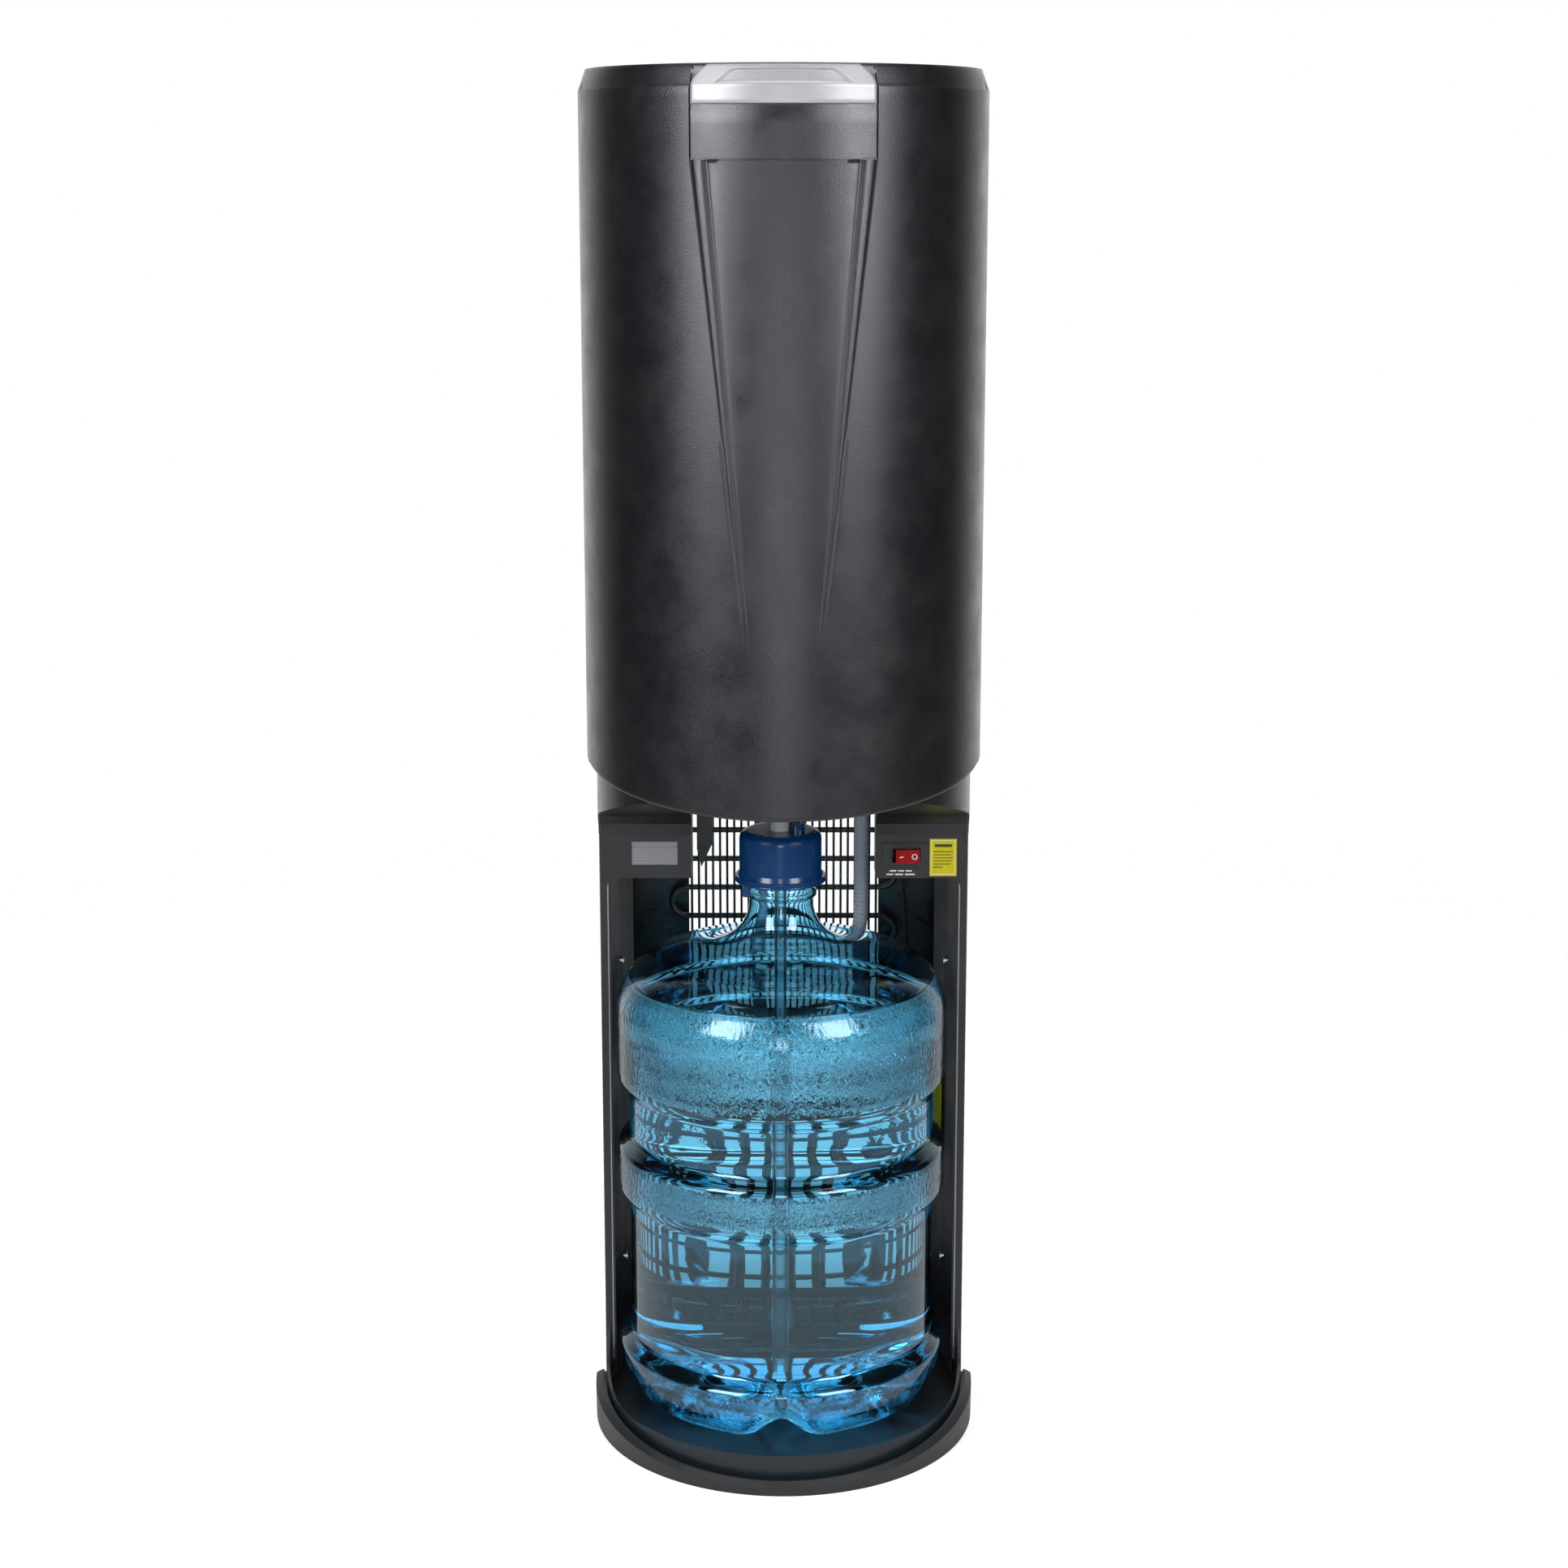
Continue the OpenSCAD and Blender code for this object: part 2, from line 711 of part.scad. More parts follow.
module bottle_profile(inset) {
    r = bottle_r - inset;
    groove = 125.5 - inset;
    low = bottle_z + inset;
    f = 7;
    polygon(concat(
        [[0, low + 14], [70, low + 8], [96, low]],
        arc_points(r - 27, low + 27, 27, -90, 0, 9),
        [[r, 66]],
        arc_points(r - f, 71, f, 0, 70, 4), [[groove + 1, 79], [groove, 82]],
        [[groove, 196], [groove + 1, 199]],
        arc_points(r - f, 207, f, -70, 0, 4), [[r, 210], [r, 236]],
        arc_points(r - f, 241, f, 0, 70, 4), [[groove + 1, 249], [groove, 252]],
        [[groove, 290], [groove + 1, 293]],
        arc_points(r - f, 301, f, -70, 0, 4),
        arc_points(r - 45, 356, 45, 0, 82, 10),
        [[62, 405 - inset], [44, 412 - inset], [31, 424 - inset], [26 - inset, 436]],
        [[26 - inset, 498 - inset], [0, 498 - inset]]
    ));
}

// Points of an arc in the plane of radius and height
function arc_points(cx, cy, r, a0, a1, n) =
    [for (i = [0:n]) let (a = a0 + (a1 - a0) * i / n) [cx + r * cos(a), cy + r * sin(a)]];

module bottle() {
    color("deepskyblue", 0.4)
    translate([bottle_x, 0, 0]) difference() {
        rotate_extrude() bottle_profile(0);
        rotate_extrude() bottle_profile(1.6);
        translate([0, 0, 480]) cylinder(r = 24.4, h = 40);
    }
}

module bottle_water() {
    color("lightblue", 0.4)
    translate([bottle_x, 0, 0]) difference() {
        intersection() {
            rotate_extrude() bottle_profile(1.9);
            box([-150, -150, 0], [150, 150, water_z]);
        }
        translate([cap_x - bottle_x, 0, probe_low_z - 1]) cylinder(r = 5.4, h = 400, $fn = 48);
    }
}

module probe_cap() {
    color("royalblue")
    translate([cap_x, 0, 0]) difference() {
        union() {
            translate([0, 0, flange_z]) cylinder(r = flange_r, h = 5);
            rotate_extrude() polygon(concat(
                [[0, flange_z + 4.9], [cap_r + 1, flange_z + 4.9], [cap_r, flange_z + 9]],
                arc_points(cap_r - 7, cap_top_z - 7, 7, 0, 90, 6), [[0, cap_top_z]]
            ));
            translate([14, -6, cap_top_z - 1]) cylinder(r = 5.5, h = 8, $fn = 48);
        }
        translate([0, 0, flange_z - 1]) cylinder(r = 29.4, h = 37.6);
        translate([0, 0, flange_z]) cylinder(r = 9.1, h = 60);
        translate([14, -6, flange_z]) cylinder(r = 2.5, h = 60, $fn = 48);
    }
}

module probe_tube() {
    color("ghostwhite")
    translate([cap_x, 0, 0]) difference() {
        union() {
            translate([0, 0, probe_low_z]) cylinder(r = 5, h = 500 - probe_low_z, $fn = 48);
            translate([0, 0, 486]) cylinder(r = 9, h = 14.2, $fn = 48);
        }
        translate([0, 0, 30]) cylinder(r = 3.4, h = 480, $fn = 48);
        for (a = [0, 90]) rotate([0, 0, a]) box([-2, -10, probe_low_z - 2], [2, 10, probe_low_z + 8]);
    }
}

// Elbow on top of the cap, pointing to the back
module cap_elbow() {
    color("lightgray")
    translate([cap_x, 0, 0]) difference() {
        union() {
            translate([0, 0, 500.3]) cylinder(r = 8.6, h = 18.4, $fn = 64);
            translate([0, 0, 512]) rotate([-90, 0, 0]) cylinder(r = 6.8, h = 46, $fn = 64);
        }
        translate([0, 0, 499]) cylinder(r = 3.4, h = 13, $fn = 32);
        translate([0, 0, 512]) rotate([-90, 0, 0]) cylinder(r = 3.4, h = 50, $fn = 32);
    }
}

module probe_hose() {
    color("lightgray")
    swept_tube(hose_path, hose_r, 12);
}

module hose_gland() {
    color("gray")
    translate([67, 127, 0]) difference() {
        union() {
            translate([0, 0, 548]) cylinder(r = 10, h = 52, $fn = 64);
            translate([0, 0, shelf_z - 6]) cylinder(r = 14, h = 5.8, $fn = 64);
        }
        translate([0, 0, 550]) cylinder(r = 3.4, h = 60, $fn = 32);
    }
}

module switch_cable() {
    color("black")
    swept_tube(cable_path, cable_r, 8);
}

// ---- Door ----

module door_profile() {
    polygon([
        [door_in_r, 500], [door_r, 500], [door_r, door_fold_z], [rim_r, door_top_z],
        [rim_in_r, door_top_z], [door_in_r, door_fold_z + 2]
    ]);
}

// Cuts the slanted lower edge
module slanted_low_edge() {
    difference() {
        children();
        translate([0, 0, door_low_z]) rotate([slope_deg, 0, 0]) box([-200, -260, -200], [200, 100, 0]);
    }
}

module handle_outline(grow = 0) {
    w = handle_w / 2 + grow;
    box([-w, -200, insert_top_z + 39 - grow], [w, -100, door_top_z + 1]);
}

module door_panel() {
    color("darkslategray")
    difference() {
        slanted_low_edge() front_turn(2 * seam_deg) door_profile();
        handle_outline(0.05);
        insert_prism(0.05);
        translate([-2.4, 0, 555.8]) rotate([90, 0, 0]) cylinder(r = 5.2, h = 200, $fn = 48);
    }
}

module insert_prism(grow = 0) {
    rotate([90, 0, 0]) linear_extrude(200) polygon([
        [-68 - grow, insert_top_z + grow], [68 + grow, insert_top_z + grow],
        [29 + grow, insert_low_z - grow], [-29 - grow, insert_low_z - grow]
    ]);
}

// Shallow concave blade, deepest under the handle and flush at its foot
module door_insert() {
    sink_deg = atan(4.6 / (insert_top_z - insert_low_z));
    color("slategray")
    intersection() {
        insert_prism();
        translate([0, 0, insert_low_z]) rotate([-sink_deg, 0, 0]) translate([0, 0, -200])
            linear_extrude(700) circle(r = door_r, $fn = 128);
        linear_extrude(1200) difference() {
            circle(r = door_r, $fn = 128);
            circle(r = 151.2, $fn = 128);
        }
    }
}

module door_handle() {
    color("silver")
    difference() {
        intersection() {
            handle_outline();
            front_turn(120) polygon([
                [rim_in_r, insert_top_z + 38], [door_r, insert_top_z + 38], [door_r, door_fold_z],
                [rim_r, door_top_z], [rim_in_r, door_top_z]
            ]);
        }
        // finger recess
        front_turn(38) polygon([[153.4, 1089], [160, 1089], [160, 1098], [152.6, 1098]]);
    }
}

module door_edge() {
    span = 90 - seam_deg;
    color("slategray")
    slanted_low_edge() union() {
        rotate([0, 0, 270 + seam_deg]) rotate_extrude(angle = span) door_profile();
        translate([0, bay_y - 0.4, 0]) rotate([90, 0, 0]) linear_extrude(bay_y) door_profile();
    }
}

module door_edge_left() {
    mirror([1, 0, 0]) door_edge();
}

module door_edge_right() {
    door_edge();
}

module door_plug() {
    color("dimgray")
    translate([-2.4, -door_in_r + 1.2, 555.8]) rotate([90, 0, 0]) {
        cylinder(r = 5.1, h = 4.4, $fn = 48);
        translate([0, 0, -1.4]) cylinder(r = 7, h = 1.5, $fn = 48);
    }
}

// Sliders on the door's side edges, held in the rail slots
module door_runners() {
    color("ivory")
    both_sides() for (z = [594, 1020]) {
        box([151.9, -10, z], [door_in_r - 0.2, rail_y1, z + 40]);
        box([146.8, rail_y0 + 3.9, z], [152, rail_y0 + 10.1, z + 40]);
        box([144.9, rail_y0 + 2.3, z], [146.9, rail_y0 + 11.7, z + 40]);
    }
}

base_ring();
base_pan();
bottle_tray();
rear_feet();
side_panel_left();
side_panel_right();
back_panel();
condenser_tube();
condenser_wires();
condenser_brackets();
bay_frame_left();
bay_frame_right();
bay_liner_left();
bay_liner_right();
liner_screws();
indicator_window();
switch_bezel();
power_switch();
notice_label();
upper_front();
alcove_liner();
control_panel();
button_hot();
button_room();
button_cold();
dispensing_spouts();
indicator_lights();
drip_tray();
drip_grille();
top_cover();
equipment_shelf();
compressor();
compressor_feet();
cold_tank();
cold_insulation();
hot_tank();
heater_band();
water_pump();
filter_dryer();
refrigerant_lines();
water_lines();
control_board();
probe_cap();
probe_tube();
cap_elbow();
probe_hose();
hose_gland();
bottle();
bottle_water();
power_inlet();
switch_cable();
guide_rails();
door_panel();
door_edge_left();
door_edge_right();
door_handle();
door_insert();
door_plug();
door_runners();
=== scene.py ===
import json
import math

import bpy
import bmesh
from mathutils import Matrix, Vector


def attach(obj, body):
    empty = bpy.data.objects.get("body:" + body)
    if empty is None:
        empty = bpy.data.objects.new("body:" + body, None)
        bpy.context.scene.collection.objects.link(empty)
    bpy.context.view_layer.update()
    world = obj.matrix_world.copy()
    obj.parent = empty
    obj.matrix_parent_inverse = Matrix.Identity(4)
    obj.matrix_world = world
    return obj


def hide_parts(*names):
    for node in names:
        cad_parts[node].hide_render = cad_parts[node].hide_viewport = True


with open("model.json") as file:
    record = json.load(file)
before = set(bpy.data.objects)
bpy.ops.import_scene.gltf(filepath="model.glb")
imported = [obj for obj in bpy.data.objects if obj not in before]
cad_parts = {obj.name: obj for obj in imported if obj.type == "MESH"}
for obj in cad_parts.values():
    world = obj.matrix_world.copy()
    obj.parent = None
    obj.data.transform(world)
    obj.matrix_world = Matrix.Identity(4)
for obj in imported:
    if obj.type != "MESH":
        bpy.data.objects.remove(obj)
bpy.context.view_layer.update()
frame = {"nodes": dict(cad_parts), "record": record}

NODES = frame["nodes"]
MM = 0.001

# ---------------------------------------------------------------- camera
camera_data = bpy.data.cameras.new("studio_camera")
camera_data.sensor_width = 36
camera_data.lens = 62.28
camera_data.shift_y = -0.0342
camera_data.clip_end = 60
camera = bpy.data.objects.new("studio_camera", camera_data)
camera.location = (0.0003, -2.1413, 1.0227)
camera.rotation_euler = (math.radians(78.470), 0, 0)
bpy.context.scene.collection.objects.link(camera)
bpy.context.scene.camera = camera


# ---------------------------------------------------------------- mesh helpers
def new_object(name, points, faces, material, smooth=True):
    mesh = bpy.data.meshes.new(name)
    mesh.from_pydata([tuple(p) for p in points], [], faces)
    mesh.validate()
    bm = bmesh.new()
    bm.from_mesh(mesh)
    bmesh.ops.remove_doubles(bm, verts=bm.verts, dist=1e-7)
    bmesh.ops.recalc_face_normals(bm, faces=bm.faces)
    bm.to_mesh(mesh)
    bm.free()
    mesh.polygons.foreach_set("use_smooth", [smooth] * len(mesh.polygons))
    mesh.materials.append(material)
    obj = bpy.data.objects.new(name, mesh)
    bpy.context.scene.collection.objects.link(obj)
    return obj


def sharpen(obj, degrees):
    """Edges that turn by more than this many degrees are drawn sharp."""
    bm = bmesh.new()
    bm.from_mesh(obj.data)
    limit = math.radians(degrees)
    for edge in bm.edges:
        if len(edge.link_faces) == 2 and edge.calc_face_angle(0) > limit:
            edge.smooth = False
    bm.to_mesh(obj.data)
    bm.free()


def bevel(obj, width):
    m = obj.modifiers.new("edge_round", "BEVEL")
    m.width = width
    m.segments = 2
    m.limit_method = "ANGLE"
    m.angle_limit = math.radians(30)
    return obj


def loops_to_mesh(name, loops, material, closed_run=False):
    """Closed loops of equal length joined one after the other; an open run gets a cap at each end."""
    n, k = len(loops), len(loops[0])
    points = [p for loop in loops for p in loop]
    faces = []
    for i in range(n if closed_run else n - 1):
        a, b = i * k, ((i + 1) % n) * k
        for j in range(k):
            j2 = (j + 1) % k
            faces.append((a + j, a + j2, b + j2, b + j))
    if not closed_run:
        faces.append(tuple(range(k)))
        faces.append(tuple(range((n - 1) * k, n * k)))
    return new_object(name, points, faces, material)


def revolve(name, profile, material, steps, centre=(0, 0), warp=None):
    """A profile of (radius, height) in mm turned about a vertical axis; ends on the axis are closed."""
    points, faces, rings = [], [], []
    for r, z in profile:
        if r < 1e-6:
            rings.append([len(points)])
            points.append((centre[0] * MM, centre[1] * MM, z * MM))
            continue
        ring = []
        for i in range(steps):
            a = 2 * math.pi * i / steps
            rr, zz = (r, z) if warp is None else warp(r, z, a)
            x, y = centre[0] + rr * math.cos(a), centre[1] + rr * math.sin(a)
            ring.append(len(points))
            points.append((x * MM, y * MM, zz * MM))
        rings.append(ring)
    for a, b in zip(rings, rings[1:]):
        for i in range(steps):
            j = (i + 1) % steps
            if len(a) == 1 and len(b) > 1:
                faces.append((a[0], b[j], b[i]))
            elif len(b) == 1 and len(a) > 1:
                faces.append((a[i], a[j], b[0]))
            elif len(a) > 1 and len(b) > 1:
                faces.append((a[i], a[j], b[j], b[i]))
    return new_object(name, points, faces, material)


def frames_along(path):
    """Unit tangent and two normals at every point, carried along without twist."""
    out, side = [], None
    for i, p in enumerate(path):
        t = (path[min(i + 1, len(path) - 1)] - path[max(i - 1, 0)]).normalized()
        if side is None:
            side = t.cross(Vector((0, 1, 0)) if abs(t.y) < 0.8 else Vector((1, 0, 0)))
        side = (side - t * side.dot(t)).normalized()
        out.append((t, side, t.cross(side)))
    return out


def smooth_route(points, step):
    """Catmull-Rom through the points, resampled every step metres."""
    p = [Vector(q) for q in points]
    p = [p[0] * 2 - p[1]] + p + [p[-1] * 2 - p[-2]]
    fine = []
    for i in range(1, len(p) - 2):
        for k in range(24):
            t = k / 24
            fine.append(0.5 * ((2 * p[i]) + (p[i + 1] - p[i - 1]) * t
                        + (2 * p[i - 1] - 5 * p[i] + 4 * p[i + 1] - p[i + 2]) * t * t
                        + (3 * p[i] - p[i - 1] - 3 * p[i + 1] + p[i + 2]) * t ** 3))
    fine.append(p[-2])
    total = sum((b - a).length for a, b in zip(fine, fine[1:]))
    count = max(2, round(total / step))
    out, walked, goal = [fine[0]], 0.0, total / count
    for a, b in zip(fine, fine[1:]):
        d = (b - a).length
        while walked + d >= goal - 1e-12 and len(out) < count:
            out.append(a.lerp(b, (goal - walked) / d if d else 0))
            goal += total / count
        walked += d
    out.append(fine[-1])
    return out, total


def tube(name, path, radius_at, material, sides):
    """A tube along the path; radius_at gives the radius in metres at each of its points."""
    loops = []
    for i, (p, (_, u, v)) in enumerate(zip(path, frames_along(path))):
        r = radius_at(i)
        turns = [2 * math.pi * k / sides for k in range(sides)]
        loops.append([p + r * (math.cos(a) * u + math.sin(a) * v) for a in turns])
    return loops_to_mesh(name, loops, material)


def rounded_plate(name, low, high, material, radius):
    """A plate from its low to its high corner in mm; the outline seen from the front has round corners."""
    (x0, y0, z0), (x1, y1, z1) = low, high
    steps = 5
    outline = []
    for cx, cz, a0 in ((x1 - radius, z1 - radius, 0), (x0 + radius, z1 - radius, 90),
                       (x0 + radius, z0 + radius, 180), (x1 - radius, z0 + radius, 270)):
        for i in range(steps + 1):
            a = math.radians(a0 + 90 * i / steps)
            outline.append((cx + radius * math.cos(a), cz + radius * math.sin(a)))
    front = [(x * MM, y0 * MM, z * MM) for x, z in outline]
    back = [(x * MM, y1 * MM, z * MM) for x, z in outline]
    n = len(outline)
    faces = [tuple(range(n)), tuple(range(n, 2 * n))]
    faces += [(i, (i + 1) % n, n + (i + 1) % n, n + i) for i in range(n)]
    return new_object(name, front + back, faces, material, smooth=False)


# ---------------------------------------------------------------- materials
class Nodes:
    """Small wrapper that adds nodes to one material."""

    def __init__(self, name):
        self.material = bpy.data.materials.new(name)
        self.material.use_nodes = True
        self.tree = self.material.node_tree
        self.shader = self.tree.nodes["Principled BSDF"]
        self.output = self.tree.nodes["Material Output"]
        self.place = self.add("ShaderNodeTexCoord").outputs["Object"]

    def add(self, kind, **settings):
        node = self.tree.nodes.new(kind)
        for key, value in settings.items():
            setattr(node, key, value)
        return node

    def join(self, a, b):
        self.tree.links.new(a, b)

    def scaled(self, x, y, z):
        node = self.add("ShaderNodeMapping")
        node.inputs["Scale"].default_value = (x, y, z)
        self.join(self.place, node.inputs["Vector"])
        return node.outputs["Vector"]

    def noise(self, scale, detail=3.0, rough=0.55, place=None, distortion=0.0):
        node = self.add("ShaderNodeTexNoise")
        node.inputs["Scale"].default_value = scale
        node.inputs["Detail"].default_value = detail
        node.inputs["Roughness"].default_value = rough
        node.inputs["Distortion"].default_value = distortion
        self.join(place or self.place, node.inputs["Vector"])
        return node.outputs["Fac"]

    def cells(self, scale, place=None, feature="F1"):
        node = self.add("ShaderNodeTexVoronoi", feature=feature)
        node.inputs["Scale"].default_value = scale
        self.join(place or self.place, node.inputs["Vector"])
        return node.outputs["Distance"]

    def ramp(self, factor, stops):
        node = self.add("ShaderNodeValToRGB")
        ramp = node.color_ramp
        while len(ramp.elements) < len(stops):
            ramp.elements.new(0.5)
        for element, (at, colour) in zip(ramp.elements, stops):
            element.position = at
            element.color = (*colour, 1)
        self.join(factor, node.inputs["Fac"])
        return node.outputs["Color"]

    def remap(self, value, a, b, c, d):
        node = self.add("ShaderNodeMapRange")
        for socket, number in zip(("From Min", "From Max", "To Min", "To Max"), (a, b, c, d)):
            node.inputs[socket].default_value = number
        self.join(value, node.inputs["Value"])
        return node.outputs["Result"]

    def maths(self, operation, a, b):
        node = self.add("ShaderNodeMath", operation=operation)
        for socket, value in zip(node.inputs, (a, b)):
            if isinstance(value, (int, float)):
                socket.default_value = value
            else:
                self.join(value, socket)
        return node.outputs["Value"]

    def bump(self, height, distance, strength=1.0, under=None):
        node = self.add("ShaderNodeBump")
        node.inputs["Strength"].default_value = strength
        node.inputs["Distance"].default_value = distance
        self.join(height, node.inputs["Height"])
        if under is not None:
            self.join(under, node.inputs["Normal"])
        return node.outputs["Normal"]

    def set(self, **values):
        for key, value in values.items():
            socket = self.shader.inputs[key.replace("_", " ")]
            if isinstance(value, (int, float, tuple)):
                socket.default_value = value
            else:
                self.join(value, socket)
        return self.material


def shade(colour, k):
    return tuple(min(1.0, c * k) for c in colour)


def moulded(name, colour, rough=0.42, grain=1500, depth=0.00005, spread=0.18, specular=0.5, patch=14):
    """Moulded plastic: fine spark-eroded grain, soft mottling and scuffs in the gloss."""
    n = Nodes(name)
    mottle = n.noise(patch, 4, 0.6)
    fine = n.noise(grain, 2, 0.6)
    tone = n.maths("ADD", n.maths("MULTIPLY", mottle, 0.55), n.maths("MULTIPLY", fine, 0.45))
    base = n.ramp(tone, [(0.3, shade(colour, 1 - spread)), (0.7, shade(colour, 1 + spread))])
    gloss = n.remap(n.noise(34, 5, 0.65), 0.3, 0.7, rough - 0.05, rough + 0.07)
    grains = n.bump(n.cells(grain), depth, 0.6)
    wave = n.bump(n.noise(60, 2), 0.00012, 0.25, grains)
    return n.set(Base_Color=base, Roughness=gloss, Normal=wave, Specular_IOR_Level=specular)


def painted(name, colour, rough=0.45, grain=900, depth=0.00006, spread=0.12, metallic=0.0, coat=0.0):
    """Powder coat or enamel: orange peel, slight cloudiness and specks."""
    n = Nodes(name)
    cloud = n.noise(9, 5, 0.6)
    base = n.ramp(cloud, [(0.3, shade(colour, 1 - spread)), (0.72, shade(colour, 1 + spread))])
    gloss = n.remap(n.noise(70, 4), 0.3, 0.7, rough - 0.06, rough + 0.08)
    peel = n.bump(n.noise(grain, 2, 0.5), depth, 0.5)
    n.set(Coat_Weight=coat, Coat_Roughness=0.2, Metallic=metallic)
    return n.set(Base_Color=base, Roughness=gloss, Normal=peel)


def brushed(name, colour, rough=0.28, along=(6, 900, 900), metallic=1.0):
    """Brushed or drawn metal with long fine scratches along one axis."""
    n = Nodes(name)
    lines = n.noise(1, 4, 0.7, n.scaled(*along))
    cloud = n.noise(26, 3)
    base = n.ramp(n.maths("ADD", n.maths("MULTIPLY", lines, 0.6), n.maths("MULTIPLY", cloud, 0.4)),
                  [(0.3, shade(colour, 0.9)), (0.7, shade(colour, 1.1))])
    gloss = n.remap(lines, 0.3, 0.7, rough - 0.07, rough + 0.1)
    n.set(Metallic=metallic)
    return n.set(Base_Color=base, Roughness=gloss, Normal=n.bump(lines, 0.00003, 0.6))

def rubber(name, colour, rough=0.7):
    n = Nodes(name)
    base = n.ramp(n.noise(40, 5, 0.7), [(0.3, shade(colour, 0.75)), (0.7, shade(colour, 1.35))])
    gloss = n.remap(n.noise(120, 3), 0.3, 0.7, rough - 0.08, rough + 0.1)
    return n.set(Base_Color=base, Roughness=gloss, Normal=n.bump(n.noise(1800, 2), 0.00008, 0.5))


def clear(name, colour, rough=0.03, ior=1.45, haze=0.08, spread=0.06):
    """Clear flexible or rigid plastic with a little haze."""
    n = Nodes(name)
    base = n.ramp(n.noise(30, 3), [(0.3, shade(colour, 1 - spread)), (0.7, colour)])
    n.set(Transmission_Weight=1 - haze, IOR=ior)
    gloss = n.remap(n.noise(90, 3), 0.3, 0.7, rough, rough + 0.06)
    return n.set(Base_Color=base, Roughness=gloss, Normal=n.bump(n.noise(250, 2), 0.00005, 0.3))


def bottle_wall():
    """Blue polycarbonate: smooth in the grooves, hammered on the bands."""
    n = Nodes("bottle_polycarbonate")
    hammer = n.add("ShaderNodeAttribute", attribute_name="hammer").outputs["Fac"]
    slanted = n.add("ShaderNodeMapping")
    slanted.inputs["Rotation"].default_value = (0.5, 0.6, 0.2)
    slanted.inputs["Scale"].default_value = (1.0, 1.0, 0.55)
    n.join(n.place, slanted.inputs["Vector"])
    coarse = n.noise(210, 2, 0.6, slanted.outputs["Vector"], 0.9)
    cells = n.cells(300, slanted.outputs["Vector"], "SMOOTH_F1")
    relief = n.maths("ADD", coarse, n.maths("MULTIPLY", cells, 0.5))
    pressed = n.bump(n.maths("MULTIPLY", relief, hammer), 0.00050, 0.7)
    drift = n.bump(n.noise(22, 2, 0.5), 0.0005, 0.2, pressed)
    tint = n.ramp(n.noise(7, 3, 0.5, None, 0.4), [(0.25, (0.80, 0.95, 1.0)), (0.75, (0.87, 0.97, 1.0))])
    gloss = n.remap(hammer, 0, 1, 0.0, 0.02)
    n.set(Transmission_Weight=1.0, IOR=1.5)
    wall = n.set(Base_Color=tint, Roughness=gloss, Normal=drift)
    absorb = n.add("ShaderNodeVolumeAbsorption")
    absorb.inputs["Color"].default_value = (0.0, 0.76, 0.985, 1)
    absorb.inputs["Density"].default_value = 330
    n.join(absorb.outputs["Volume"], n.output.inputs["Volume"])
    return wall


def water_material():
    n = Nodes("drinking_water")
    tint = n.ramp(n.noise(5, 2), [(0.3, (0.95, 0.985, 1.0)), (0.7, (0.985, 1.0, 1.0))])
    n.set(Transmission_Weight=1.0, IOR=1.33)
    gloss = n.remap(n.noise(12, 2), 0.3, 0.7, 0.0, 0.01)
    body = n.set(Base_Color=tint, Roughness=gloss, Normal=n.bump(n.noise(35, 2), 0.00025, 0.15))
    absorb = n.add("ShaderNodeVolumeAbsorption")
    absorb.inputs["Color"].default_value = (0.25, 0.88, 1.0, 1)
    absorb.inputs["Density"].default_value = 1.4
    n.join(absorb.outputs["Volume"], n.output.inputs["Volume"])
    return body


def label_sheet(name, colour):
    """Printed vinyl: slightly uneven ink, faint creases."""
    n = Nodes(name)
    base = n.ramp(n.noise(45, 4, 0.6), [(0.3, shade(colour, 0.9)), (0.7, shade(colour, 1.06))])
    gloss = n.remap(n.noise(60, 3), 0.3, 0.7, 0.32, 0.46)
    n.set(Specular_IOR_Level=0.25)
    return n.set(Base_Color=base, Roughness=gloss, Normal=n.bump(n.noise(130, 3), 0.0001, 0.3))


def soft_plastic(name, colour):
    """Coloured polypropylene with a little light carried under its surface."""
    n = Nodes(name)
    base = n.ramp(n.noise(22, 4), [(0.3, shade(colour, 0.86)), (0.7, shade(colour, 1.14))])
    gloss = n.remap(n.noise(80, 3), 0.3, 0.7, 0.2, 0.3)
    n.set(Subsurface_Weight=0.12, Subsurface_Radius=(0.001, 0.003, 0.008))
    n.set(Coat_Weight=0.3, Coat_Roughness=0.12)
    return n.set(Base_Color=base, Roughness=gloss, Normal=n.bump(n.noise(400, 2), 0.00004, 0.4))


def glow(name, colour):
    n = Nodes(name)
    base = n.ramp(n.noise(300, 2), [(0.3, shade(colour, 0.85)), (0.7, colour)])
    n.set(Transmission_Weight=0.4, Coat_Weight=0.5)
    return n.set(Base_Color=base, Roughness=n.remap(n.noise(200, 2), 0.3, 0.7, 0.2, 0.35))


DOOR = moulded("door_skin_plastic", (0.0045, 0.0045, 0.0062), 0.32, 1300, 0.00013, 0.15, 0.85)
FRAME = moulded("frame_plastic", (0.008, 0.008, 0.009), 0.40, 1100, 0.00010, 0.25, 0.6)
TRAY = moulded("tray_plastic", (0.007, 0.012, 0.016), 0.34, 1400, 0.00005, 0.2)
GLOSS_BLACK = moulded("gloss_black_plastic", (0.012, 0.012, 0.013), 0.2, 1900, 0.00002, 0.2)
GREY = moulded("grey_plastic", (0.42, 0.43, 0.45), 0.4, 1200, 0.00005, 0.1)
HOSE = moulded("hose_plastic", (0.62, 0.66, 0.72), 0.33, 1500, 0.00004, 0.1)
SIDES = painted("side_paint", (0.034, 0.034, 0.036), 0.42, 800, 0.00008)
ENAMEL = painted("black_enamel", (0.012, 0.012, 0.013), 0.3, 700, 0.00005, 0.2, 0.0, 0.3)
RUBBER = rubber("black_rubber", (0.018, 0.018, 0.018))
